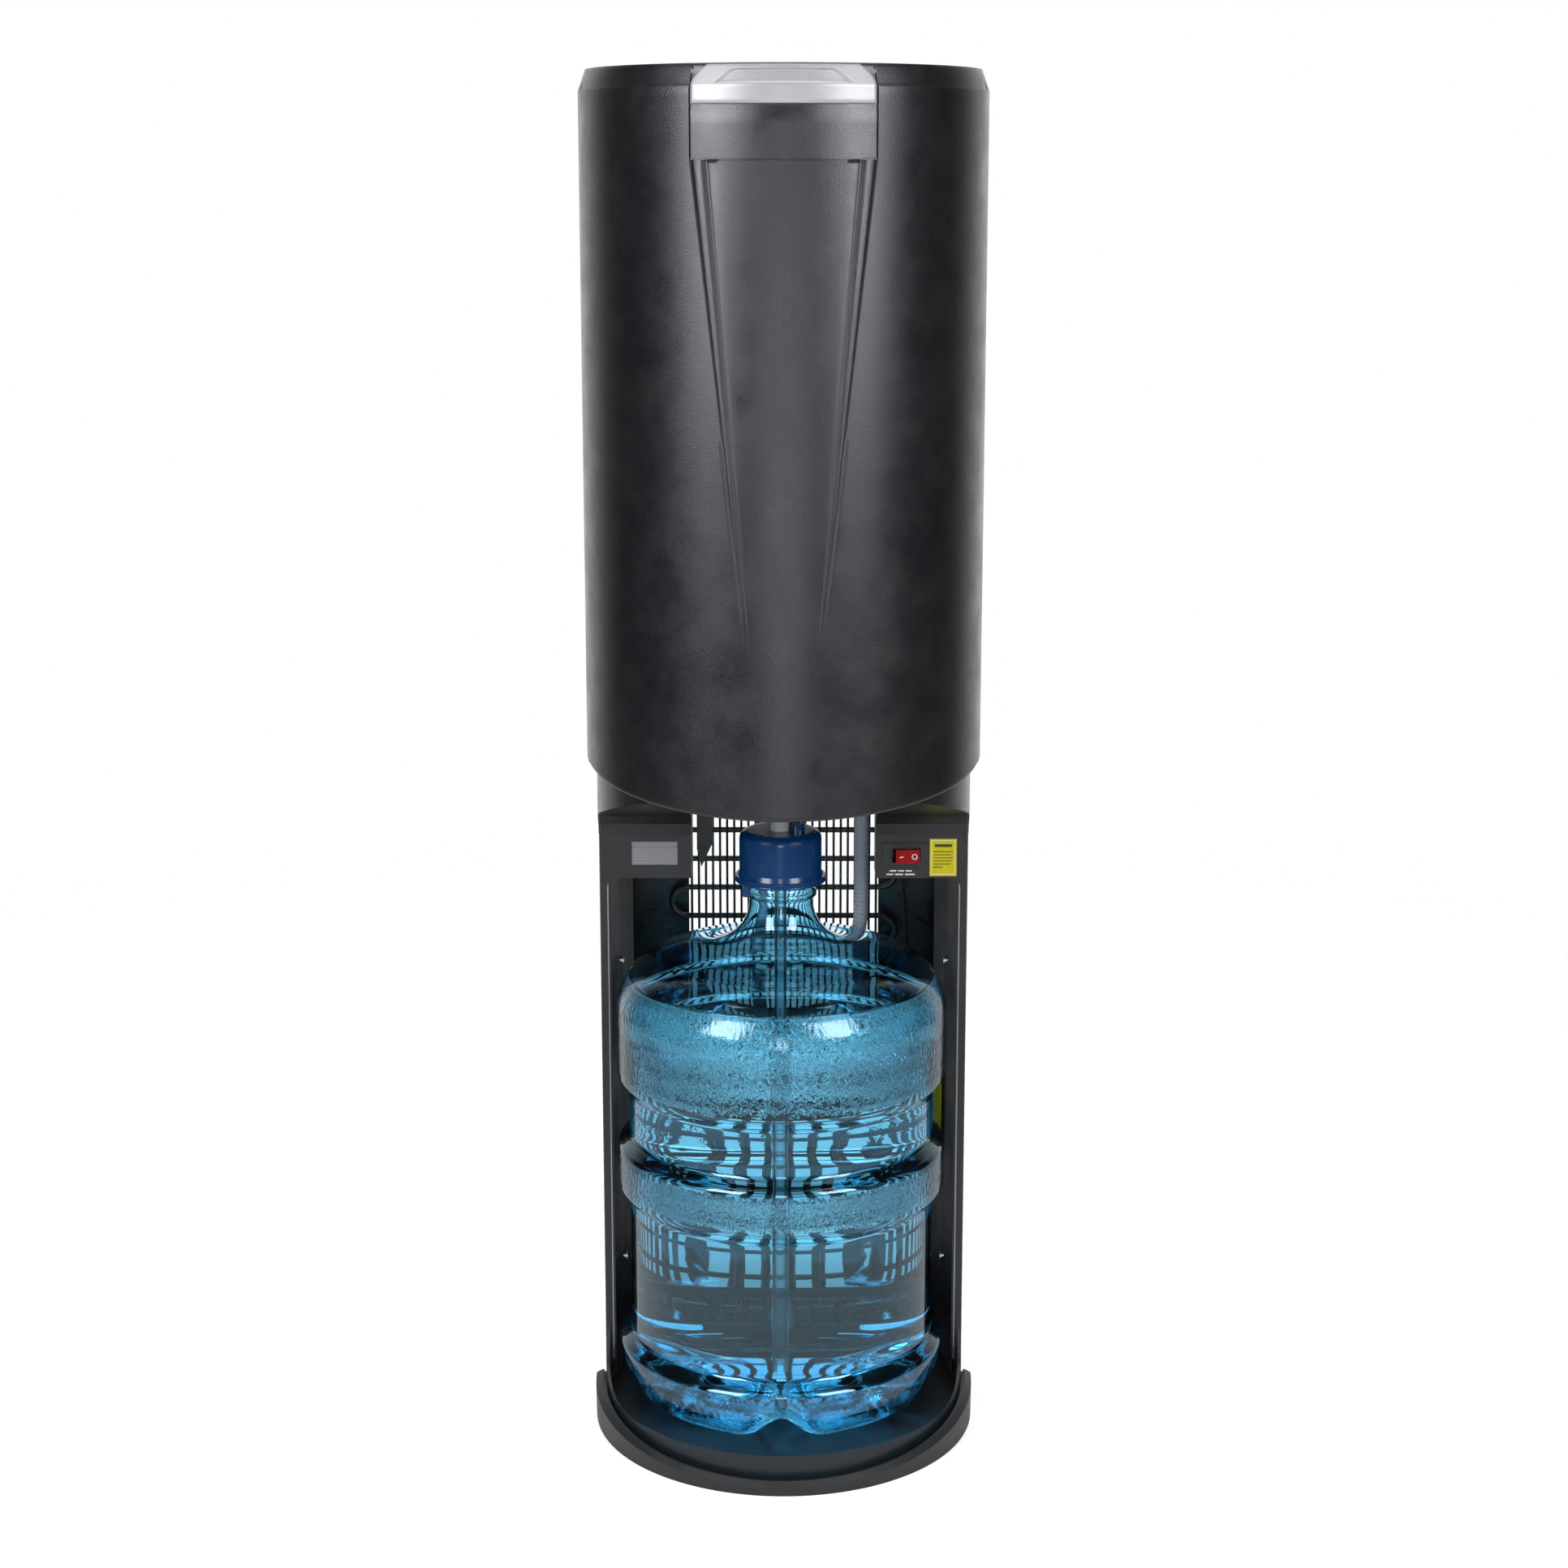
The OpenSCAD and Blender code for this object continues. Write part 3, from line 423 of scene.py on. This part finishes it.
STEEL = brushed("satin_steel", (0.62, 0.62, 0.64), 0.3, (900, 900, 8))
SILVER = brushed("silver_trim", (0.36, 0.355, 0.36), 0.34, (5, 700, 900), 0.3)
WINDOW = brushed("window_satin", (0.22, 0.22, 0.23), 0.3, (5, 700, 900), 0.35)
RAIL = brushed("rail_aluminium", (0.52, 0.53, 0.55), 0.34, (900, 900, 5))
ZINC = painted("zinc_sheet", (0.48, 0.49, 0.5), 0.36, 60, 0.00004, 0.16, 0.9)
COPPER = brushed("drawn_copper", (0.72, 0.36, 0.22), 0.3, (400, 400, 40))
RED = clear("red_rocker", (0.42, 0.012, 0.015), 0.12, 1.49, 0.75, 0.25)
YELLOW = label_sheet("yellow_vinyl", (0.48, 0.42, 0.001))
PRINT = label_sheet("dark_print", (0.045, 0.045, 0.02))
WHITE_PRINT = label_sheet("white_print", (0.62, 0.63, 0.62))
PALE_PRINT = label_sheet("pale_border", (0.60, 0.60, 0.42))
BUTTON_BLUE = soft_plastic("button_blue", (0.02, 0.10, 0.42))
BUTTON_RED = soft_plastic("button_red", (0.42, 0.02, 0.02))
CAP = soft_plastic("cap_blue", (0.001, 0.034, 0.125))
LAMP = glow("lamp_lens", (0.8, 0.8, 0.76))
FOAM = moulded("tank_foam", (0.68, 0.66, 0.60), 0.8, 300, 0.0006, 0.1)
TUBE = clear("silicone_tube", (0.78, 0.86, 0.90), 0.12, 1.41, 0.25)
PROBE = clear("probe_tube_clear", (0.90, 0.96, 1.0), 0.02, 1.36, 0.02)
BOARD = painted("solder_mask", (0.02, 0.14, 0.06), 0.3, 400, 0.00006, 0.25)
RUNNER = moulded("acetal_runner", (0.66, 0.66, 0.62), 0.34, 1300, 0.00003, 0.06)
WALL = bottle_wall()
WATER = water_material()

SLOTS = {
    "dark_plastic": FRAME, "door_plastic": DOOR, "side_paint": SIDES, "black_steel": ENAMEL,
    "black_rubber": RUBBER, "steel": STEEL, "silver_trim": SILVER, "rail_metal": RAIL,
    "zinc_sheet": ZINC, "red_switch": RED, "yellow_label": YELLOW, "black_plastic": GLOSS_BLACK,
    "grey_plastic": GREY, "blue_button": BUTTON_BLUE, "cap_blue": CAP, "lamp": LAMP, "foam": FOAM,
    "copper": COPPER, "clear_tube": TUBE, "board_green": BOARD, "hose_grey": HOSE,
    "bottle_blue": WALL, "water": WATER, "runner_white": RUNNER,
}
OWN_LOOK = {"bottle_tray": TRAY, "button_hot": BUTTON_RED, "indicator_window": WINDOW, "probe_tube": PROBE}
for part in frame["record"]["subparts"]:
    look = OWN_LOOK.get(part["node"], SLOTS[part["material_slot"]])
    mesh = NODES[part["node"]].data
    if mesh.materials:
        for i in range(len(mesh.materials)):
            mesh.materials[i] = look
    else:
        mesh.materials.append(look)
# ---------------------------------------------------------------- probe hose
HOSE_POINTS = [
    (67, 127, 548), (67, 127, 520), (67, 127, 492), (67, 127, 464), (67, 127, 436), (67, 127, 408),
    (66, 128, 390), (62, 132, 372), (53, 136, 354), (39, 141, 341), (23, 144, 337), (6, 146, 341),
    (-9, 147, 352), (-19, 147, 369), (-23, 147, 388), (-23, 147, 412), (-22, 144, 436),
    (-20, 139, 460), (-17, 127, 482), (-12, 110, 499), (-8, 90, 509), (-5, 68, 512), (-2.6, 46, 512),
]
HOSE_STEP = 0.0009
HOSE_CUFF = 0.016
HOSE_RADIUS = 0.0065
RING_HEIGHT = 0.00065
STEPS_PER_RING = 4
hose_line, hose_length = smooth_route([Vector(p) * MM for p in HOSE_POINTS], HOSE_STEP)


def hose_radius(i):
    """Smooth cuffs at both ends, close rings between them."""
    from_end = min(i, len(hose_line) - 1 - i) * HOSE_STEP
    if from_end < HOSE_CUFF:
        return HOSE_RADIUS
    wave = (0.5 + 0.5 * math.cos(2 * math.pi * i / STEPS_PER_RING)) ** 0.7
    return HOSE_RADIUS - RING_HEIGHT + RING_HEIGHT * wave

hose = tube("corrugated_hose", hose_line, hose_radius, HOSE, 18)
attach(hose, "cabinet")
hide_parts("probe_hose")

# ---------------------------------------------------------------- bottle, in mm
BOTTLE_X, BASE_Z = -2.0, 26.0
BAND_R, GROOVE_R = 135.0, 125.5
BAND_ROUND, GROOVE_ROUND, STEP_H = 7.0, 5, 15
HAMMERED = ((32, 66), (211, 237), (305, 384))
NOTCHES, NOTCH_RISE, NOTCH_SPREAD = 5, 17, 17.0
WATER_Z = 383.0


def arc(cx, cz, r, a0, a1, n):
    return [(cx + r * math.cos(math.radians(a0 + (a1 - a0) * i / n)),
             cz + r * math.sin(math.radians(a0 + (a1 - a0) * i / n))) for i in range(n + 1)]


def straight(a, b, n):
    return [(a[0] + (b[0] - a[0]) * i / n, a[1] + (b[1] - a[1]) * i / n) for i in range(1, n)]


def into_groove(z, start=0):
    """From the top of a band at height z into the groove over it."""
    return (arc(BAND_R - BAND_ROUND, z, BAND_ROUND, start, 62, 6)
            + arc(GROOVE_R + GROOVE_ROUND, z + STEP_H, GROOVE_ROUND, 242, 180, 6))


def out_of_groove(z):
    """From a groove at height z out to the foot of the band over it."""
    return (arc(GROOVE_R + GROOVE_ROUND, z, GROOVE_ROUND, 180, 118, 6)
            + arc(BAND_R - BAND_ROUND, z + STEP_H, BAND_ROUND, -62, 0, 6))


def bottle_outline():
    """Outer profile: crowned base, foot, three bands with two grooves, shoulder, neck and its bead."""
    line = [(r, BASE_Z + 15 * (1 - (r / 99) ** 3)) for r in (0, 15, 30, 45, 58, 70, 80, 88, 94)]
    line += arc(BAND_R - 31, BASE_Z + 28, 28, -92, -8, 14) + [(BAND_R - 1.2, 64)]
    line += into_groove(69, 10) + straight((GROOVE_R, 84), (GROOVE_R, 194), 12) + out_of_groove(194)
    line += straight((BAND_R, 209), (BAND_R, 239), 6) + into_groove(239)
    line += straight((GROOVE_R, 254), (GROOVE_R, 288), 6) + out_of_groove(288)
    line += straight((BAND_R, 303), (BAND_R, 356), 8) + arc(BAND_R - 45, 356, 45, 0, 80, 20)
    line += [(84, 402.2), (70, 404.2), (57, 407.6), (46, 412.5), (37.5, 418.8), (31.5, 426), (28, 433)]
    line += [(26.4, 440), (26, 446), (26, 449), (28.6, 450), (28.9, 452), (28.6, 454), (26, 455)]
    return line + [(26, 460), (26, 470), (26, 486), (26, 497)]


def offset(profile, by):
    """The profile moved inwards by a distance along its own normals."""
    out = []
    for i, (r, z) in enumerate(profile):
        a, b = profile[max(i - 1, 0)], profile[min(i + 1, len(profile) - 1)]
        dr, dz = b[0] - a[0], b[1] - a[1]
        length = math.hypot(dr, dz) or 1
        out.append((0.0 if r < 1e-6 else max(0.0, r - by * dz / length), z + by * dr / length))
    return out


def feet(r, z, a):
    """Five arched notches in the bottle's foot, one of them at the front."""
    turn = (a + math.pi / 2) % (2 * math.pi / NOTCHES)
    turn = min(turn, 2 * math.pi / NOTCHES - turn)
    rise = NOTCH_RISE * math.exp(-(r * turn / NOTCH_SPREAD) ** 2)
    rise *= max(0.0, min(1.0, (r - 55) / 40)) * max(0.0, min(1.0, 1 - (z - BASE_Z) / 36))
    return r - 0.25 * rise, z + rise


def hammer_at(x, y, z):
    """Strength of the hammered pattern: on the bands only, weaker on the foot and at the back."""
    if math.hypot(x - BOTTLE_X, y) <= 96:
        return 0.0
    value = 0.0
    for low, high in HAMMERED:
        value = max(value, min(1.0, max(0.0, (z - low) / 4), max(0.0, (high - z) / 4)))
    if 30 < z < 66:
        value *= 0.7
    return value * min(1.0, max(0.15, (20 - y) / 40))


outer = bottle_outline()
inner = offset(outer, 1.6)
bottle = revolve("blue_bottle", outer + [(25.2, 498)] + inner[::-1], WALL, 180, (BOTTLE_X, 0), feet)
marks = bottle.data.attributes.new("hammer", "FLOAT", "POINT")
marks.data.foreach_set("value", [hammer_at(*(v.co * 1000)) for v in bottle.data.vertices])
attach(bottle, "cabinet")
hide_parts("bottle")

shell = [p for p in offset(outer, 1.5) if p[1] < WATER_Z - 0.6]
top_r = shell[-1][0] - 0.4
surface = [(top_r, WATER_Z + 0.6), (top_r - 1.2, WATER_Z + 0.1), (top_r - 3.5, WATER_Z)]
surface += [(60, WATER_Z), (20, WATER_Z), (0, WATER_Z)]
water = revolve("bottle_water_body", shell + surface, WATER, 180, (BOTTLE_X, 0), feet)
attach(water, "cabinet")
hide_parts("bottle_water")

# pull tab and skirt ring of the cap
tab = rounded_plate("cap_pull_tab", (-33.5, -21.5, 452.5), (-27.5, -19.8, 463), CAP, 2.2)
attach(bevel(tab, 0.0004), "cabinet")
skirt = revolve("cap_skirt_bead", arc(36.2, 463.2, 1.1, -90, 270, 14), CAP, 120, (-2.6, 0))
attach(skirt, "cabinet")

# ---------------------------------------------------------------- door skin, in mm
# radius and thickness of the half cylinder, and half of the angle that it spans
DR, DT, DOOR_HALF_ANGLE = 158.0, 3.6, math.radians(78)
# widest and lowest height of the pressed blade, foot of the handle's seat, start of the rim
TOP, LOW, SPLIT, FOLD = 1035.0, 690.0, 1073.6, 1087.0
BLADE_HALF, BLADE_FOOT_HALF = 68.0, 29.0
RIB_FOOT, RIB_GROWTH = 3.0, 8.6
SEAT_DEPTH = 1.6
EDGE_Z, EDGE_SLOPE = 571.6, 0.153
# the rib's section: (share of its width in from the blade's outline, depth)
RIB = [(0, 0.95), (0.05, 0.9), (0.1, 0.55), (0.18, 0.22), (0.3, 0.04), (0.42, 0.0), (0.55, 0.02), (0.68, 0.2),
       (0.8, 0.7), (0.88, 1.25), (0.94, 1.7), (1.0, 1.85), (1.06, 1.7), (1.14, 1.45), (1.3, 1.4), (1.6, 1.5)]
# the rim and the inside of the skin: (radius, height); a height under 10 counts from the lower edge
RIM = ((157.6, FOLD + 0.3), (156.7, FOLD + 2.6), (155.2, 1094.8), (153.4, 1099.8), (152.5, 1102.3),
       (151.9, 1103), (151.35, 1102.7))
INSIDE = ((150.6, 1100), (151.6, 1092), (DR - DT - 0.6, 1086), (DR - DT - 0.6, 860), (DR - DT - 0.6, 640),
          (DR - DT, 0.3), (DR - DT + 1.4, 0.0))


def low_edge(angle):
    """Height of the door's slanting lower edge, lowest at the front."""
    return EDGE_Z - EDGE_SLOPE * DR * math.cos(angle)


def up_the_blade(z):
    """0 at the blade's foot, 1 at its widest height."""
    return min(1.0, max(0.0, (z - LOW) / (TOP - LOW)))


def half_width(z):
    return BLADE_FOOT_HALF + (BLADE_HALF - BLADE_FOOT_HALF) * up_the_blade(z)


def fade(z):
    return min(1.0, max(0.0, (z - LOW + 6) / (TOP - LOW))) ** 0.75


def rib_width(z):
    return RIB_FOOT + RIB_GROWTH * up_the_blade(z)


def press(x, z):
    """Depth of the pressed shape under the plain half cylinder."""
    w, rib = half_width(z), rib_width(z)
    e = w - abs(x)
    if e < -0.01:
        return 0.0
    if z > SPLIT:
        return SEAT_DEPTH
    if z > TOP + 0.9:
        side = 0.9 if e < 0.25 else 0.25
        return side if z < SPLIT - 0.6 else SEAT_DEPTH
    if z > TOP - 0.2:
        return 1.15
    k = e / rib
    if k <= RIB[-1][0]:
        for (a, da), (b, db) in zip(RIB, RIB[1:]):
            if k <= b + 1e-9:
                depth = da + (db - da) * (k - a) / (b - a)
                break
    else:
        inside = min(1.0, (e - 1.6 * rib) / max(4.0, w - 1.6 * rib))
        depth = 1.5 + 1.5 * (1 - (1 - inside) ** 2)
    return depth * fade(z)


def door_columns(z):
    """x of every column at this height; the columns follow the ribs."""
    w, rib = half_width(z), rib_width(z)
    edge = math.asin(w / DR)
    left = [math.sin(-DOOR_HALF_ANGLE + (DOOR_HALF_ANGLE - edge) * i / 44) * DR for i in range(44)]
    left.append(-w - 0.35)
    half = [-w + e * rib for e, _ in RIB]
    last = half[-1]
    half += [last * (1 - (i / 14)) for i in range(1, 15)]
    right = [-x for x in half[-2::-1]]
    return left + half + right + [-x for x in left[::-1]]


def at_column(x, r, z):
    """Point at height z on a circle of radius r, in line with the door's column x."""
    a = math.asin(x / DR)
    return (r * math.sin(a) * MM, -r * math.cos(a) * MM, z * MM)


def lower_rows():
    rows = []
    for rise in [0.0, 0.6, 1.6, 4, 10] + [20 + 8.5 * i for i in range(12)]:
        r = DR if rise > 1 else DR - (1.2 if rise == 0 else 0.35)
        row = []
        for x in door_columns(600):
            foot = low_edge(math.asin(x / DR))
            z = foot + rise * (670 - foot) / 120.0 if rise > 10 else foot + rise
            row.append(at_column(x, r, z))
        rows.append(row)
    return rows


def pressed_rows():
    heights = [LOW + (TOP - LOW) * i / 110 for i in range(110)]
    heights += [TOP - 0.3, TOP, TOP + 0.45, TOP + 0.9, TOP + 1.1, 1040, 1050, 1060, 1070]
    heights += [SPLIT - 0.6, SPLIT - 0.1, SPLIT + 0.2, 1080, FOLD - 0.6]
    return [[at_column(x, DR - press(x, z), z) for x in door_columns(z)] for z in heights]


def rim_rows():
    rows = []
    for r, z in RIM:
        seat = SEAT_DEPTH if z < 1102 else 0
        rows.append([at_column(x, r - (seat if abs(x) < 67.9 else 0), z) for x in door_columns(1090)])
    return rows


def inside_rows():
    rows = []
    for r, z in INSIDE:
        columns = door_columns(1090 if z > 1000 else 600 if z < 650 else z)
        rows.append([at_column(x, r, z if z > 10 else low_edge(math.asin(x / DR)) + z) for x in columns])
    return rows


skin_rows = lower_rows() + pressed_rows() + rim_rows() + inside_rows()
door = loops_to_mesh("door_skin", [list(c) for c in zip(*skin_rows)], DOOR)
sharpen(door, 55)
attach(door, "door")
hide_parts("door_panel", "door_insert")

# ---------------------------------------------------------------- handle trim, in mm
RECESS_LOW, RECESS_HIGH, RECESS_DEPTH = 1088.4, 1098.8, 1.35
TRIM_HALF, TRIM_STEPS = 67.3, 120


def trim_radius(z):
    return DR if z <= FOLD else DR - 5.8 * (z - FOLD) / 16.0


def trim_recess(x, z):
    """Depth of the finger recess, which is wider at its foot than at its top."""
    if z < RECESS_LOW or z > RECESS_HIGH:
        return 0.0
    t = (z - RECESS_LOW) / (RECESS_HIGH - RECESS_LOW)
    e = 51 - 12 * t - abs(x)
    if e <= 0:
        return 0.0
    side = min(1.0, e / 5.0)
    ends = min(1.0, t / 0.16, (1 - t) / 0.13)
    return RECESS_DEPTH * math.sin(side * math.pi / 2) * max(0.0, ends) ** 0.8


def trim_columns(half):
    """x of every column of the trim, closer together towards its ends."""
    shares = [-1 + 2 * j / TRIM_STEPS for j in range(TRIM_STEPS + 1)]
    return [half * (math.sin(s * math.pi / 2) * 0.35 + s * 0.65) for s in shares]


def trim_lip(i, j, rows):
    """How far the trim's edges are rounded back, by row and column."""
    lip = 0.7 if i == 0 or j in (0, TRIM_STEPS) else 0.2 if i == 1 or j in (1, TRIM_STEPS - 1) else 0.0
    return max(lip, (0.15, 0.45, 0.9)[i - rows + 3]) if i >= rows - 3 else lip


def trim_front():
    heights = [1074.3, 1074.6, 1075.2, 1078, 1081, 1084, 1086, 1086.8, 1087.4, 1088.3]
    heights += [RECESS_LOW + (RECESS_HIGH - RECESS_LOW) * i / 16 for i in range(17)]
    heights += [1099, 1100, 1101.2, 1102.2, 1102.75, 1103]
    rows = []
    for i, z in enumerate(heights):
        cut = 0.0 if z < 1088 else 11.0 * (1 - math.cos(min(1.0, (z - 1088) / 15) * math.pi / 2))
        row = []
        for j, x in enumerate(trim_columns(TRIM_HALF - cut)):
            r = trim_radius(z) - trim_recess(x, z) - trim_lip(i, j, len(heights))
            row.append(at_column(x, r, z))
        rows.append(row)
    return rows


def trim_back():
    rows = []
    for half, r, z in ((56.5, 151.35, 1102.6), (66.8, 151.35, 1090), (66.8, 154.6, 1074.6)):
        rows.append([at_column(x, r, z) for x in trim_columns(half)])
    return rows


handle = loops_to_mesh("handle_trim", [list(c) for c in zip(*(trim_front() + trim_back()))], SILVER)
sharpen(handle, 50)
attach(handle, "door")
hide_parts("door_handle")

# ---------------------------------------------------------------- printed marks, labels, in mm
# front faces of the ear and of the notice label on it
EAR_Y = 4.0
NOTICE_Y = EAR_Y - 0.35


def mark(name, low, high, y, material, radius, thick):
    """A thin printed mark in front of y, from its low to its high (x, z) corner."""
    obj = rounded_plate(name, (low[0], y - thick, low[1]), (high[0], y, high[1]), material, radius)
    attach(obj, "cabinet")


mark("notice_border", (120.2, 465), (139.8, 493.8), NOTICE_Y, PALE_PRINT, 0.8, 0.06)
mark("notice_field", (120.8, 465.6), (139.2, 493.2), NOTICE_Y, YELLOW, 0.6, 0.1)
mark("notice_heading", (123, 488.2), (137, 490.6), NOTICE_Y, PRINT, 0.3, 0.14)
for i, end in enumerate((138, 136.5, 138, 137.2, 135.8, 130)):
    z = 484 - 2.6 * i
    mark(f"notice_line_{i}", (122, z), (end, z + 0.7), NOTICE_Y, PRINT, 0.1, 0.14)
for i, (start, end, z) in enumerate(((86.5, 92, 467.6), (93.4, 98.2, 467.6), (99.6, 104.6, 467.6),
                                     (84, 89.5, 464.6), (91, 97.5, 464.6), (99, 107, 464.6))):
    mark(f"caption_line_{i}", (start, z), (end, z + 1.1), EAR_Y - 0.03, WHITE_PRINT, 0.2, 0.1)

# ring and bar marks on the rocker
PIVOT_X, PIVOT_Y = 100, 8.5
ROCKER_TURN = math.radians(7)
FACE_RADIUS, FACE_CENTRE_Y = 18, -28


def on_rocker(u, v, out):
    """Point on the rocker's concave face: u runs across from its pivot, v is the height."""
    y = FACE_CENTRE_Y + math.sqrt(FACE_RADIUS ** 2 - u * u) - out
    c, s = math.cos(ROCKER_TURN), math.sin(ROCKER_TURN)
    return ((PIVOT_X + u * c - y * s) * MM, (PIVOT_Y + u * s + y * c) * MM, v * MM)


def rocker_mark(name, loops, closed_run):
    obj = loops_to_mesh(name, loops, WHITE_PRINT, closed_run)
    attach(obj, "switch_rocker")


def ring_loop(a):
    section = ((1.5, 0.02), (2.3, 0.02), (2.3, 0.12), (1.5, 0.12))
    return [on_rocker(5.2 + q * math.cos(a), 481.3 + q * math.sin(a) * 1.05, out) for q, out in section]


def bar_loop(u):
    section = ((480.8, 0.02), (480.8, 0.12), (481.8, 0.12), (481.8, 0.02))
    return [on_rocker(u, z, out) for z, out in section]


rocker_mark("rocker_ring", [ring_loop(2 * math.pi * i / 28) for i in range(28)], True)
rocker_mark("rocker_bar", [bar_loop(u) for u in (-7.4, -6.2, -5, -3.8)], False)


def side_label_loop(y):
    """Section of the label on the right liner, whose face leans inwards towards the back."""
    low, high = 205, 330
    x = 136.5 - (y - 40) * 9.5 / 32 - 1.2
    corners = ((x - 0.3, low), (x - 0.3, high), (x, high), (x, low))
    return [(cx * MM, y * MM, cz * MM) for cx, cz in corners]


side_label = loops_to_mesh("side_label", [side_label_loop(y) for y in (46, 58, 70)], YELLOW)
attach(side_label, "cabinet")

# ---------------------------------------------------------------- softer edges on carried-over nodes
for name, width in (("base_ring", 0.0008), ("bottle_tray", 0.0006), ("bay_frame_left", 0.0007),
                    ("bay_frame_right", 0.0007), ("switch_bezel", 0.0004), ("indicator_window", 0.0005),
                    ("power_switch", 0.0004), ("control_panel", 0.0005), ("door_plug", 0.0004)):
    bevel(NODES[name], width)

# ---------------------------------------------------------------- studio


def studio_floor():
    """Pale sweep that runs out into the white of the studio."""
    n = Nodes("studio_floor")
    base = n.ramp(n.noise(3, 3), [(0.3, (0.60, 0.60, 0.60)), (0.7, (0.62, 0.62, 0.62))])
    mirrored = n.add("ShaderNodeLightPath").outputs["Is Glossy Ray"]
    n.set(Emission_Color=(1, 1, 1, 1), Emission_Strength=n.remap(mirrored, 0, 1, 0.55, 0.05))
    n.set(Base_Color=base, Roughness=n.remap(n.noise(8, 3), 0.3, 0.7, 0.7, 0.8))
    reach = n.add("ShaderNodeVectorMath", operation="LENGTH")
    n.join(n.place, reach.inputs[0])
    share = n.remap(reach.outputs["Value"], 0.45, 1.9, 0.0, 1.0)
    open_air = n.add("ShaderNodeBsdfTransparent")
    blend = n.add("ShaderNodeMixShader")
    n.join(share, blend.inputs[0])
    n.join(n.shader.outputs[0], blend.inputs[1])
    n.join(open_air.outputs[0], blend.inputs[2])
    n.join(blend.outputs[0], n.output.inputs["Surface"])
    return n.material
def studio_world():
    """Even white for the camera; for every other ray, dim but for a bright area behind the object."""
    world = bpy.data.worlds.new("studio_world")
    world.use_nodes = True
    tree = world.node_tree
    back = tree.nodes["Background"]
    place = tree.nodes.new("ShaderNodeTexCoord")
    parts = tree.nodes.new("ShaderNodeSeparateXYZ")
    tree.links.new(place.outputs["Generated"], parts.inputs["Vector"])
    spread = tree.nodes.new("ShaderNodeMapRange")
    for socket, number in zip(("From Min", "From Max", "To Min", "To Max"), (0.5, 0.92, 0.035, 1.35)):
        spread.inputs[socket].default_value = number
    tree.links.new(parts.outputs["Y"], spread.inputs["Value"])
    path = tree.nodes.new("ShaderNodeLightPath")
    pick = tree.nodes.new("ShaderNodeMix")
    tree.links.new(path.outputs["Is Camera Ray"], pick.inputs[0])
    tree.links.new(spread.outputs["Result"], pick.inputs[2])
    pick.inputs[3].default_value = 1.0
    tree.links.new(pick.outputs[0], back.inputs["Strength"])
    back.inputs["Color"].default_value = (1, 1, 1, 1)
    return world


def softbox(name, azimuth, distance, height, wide, tall, power, colour=(1, 1, 1), aim=0.7):
    """A rectangular light at an azimuth about the object, aimed at a height on its axis."""
    light = bpy.data.lights.new(name, "AREA")
    light.shape = "RECTANGLE"
    light.size, light.size_y = wide, tall
    light.energy = power
    light.color = colour
    obj = bpy.data.objects.new(name, light)
    a = math.radians(azimuth)
    obj.location = (distance * math.sin(a), -distance * math.cos(a), height)
    toward = Vector((0, 0, aim)) - obj.location
    obj.rotation_euler = toward.to_track_quat("-Z", "Y").to_euler()
    bpy.context.scene.collection.objects.link(obj)


FLOOR_HALF, FLOOR_GAP = 4, 0.0002
COOL_WHITE = (0.94, 0.96, 1.0)
bm = bmesh.new()
bmesh.ops.create_grid(bm, x_segments=24, y_segments=24, size=FLOOR_HALF)
plane = bpy.data.meshes.new("floor")
bm.to_mesh(plane)
bm.free()
floor = bpy.data.objects.new("floor", plane)
plane.materials.append(studio_floor())
floor.location.z = -FLOOR_GAP
bpy.context.scene.collection.objects.link(floor)

softbox("softbox_left", -40, 2.6, 1.72, 1.2, 1.7, 74, COOL_WHITE)
softbox("softbox_right", 40, 2.6, 1.72, 1.2, 1.7, 66, COOL_WHITE)
softbox("front_strip", 0, 2.7, 0.62, 0.34, 1.15, 8, COOL_WHITE, 0.6)
softbox("top_light", 180, 0.6, 2.9, 2.4, 2.4, 52)
bpy.context.scene.world = studio_world()
bpy.context.scene.view_settings.view_transform = "Standard"
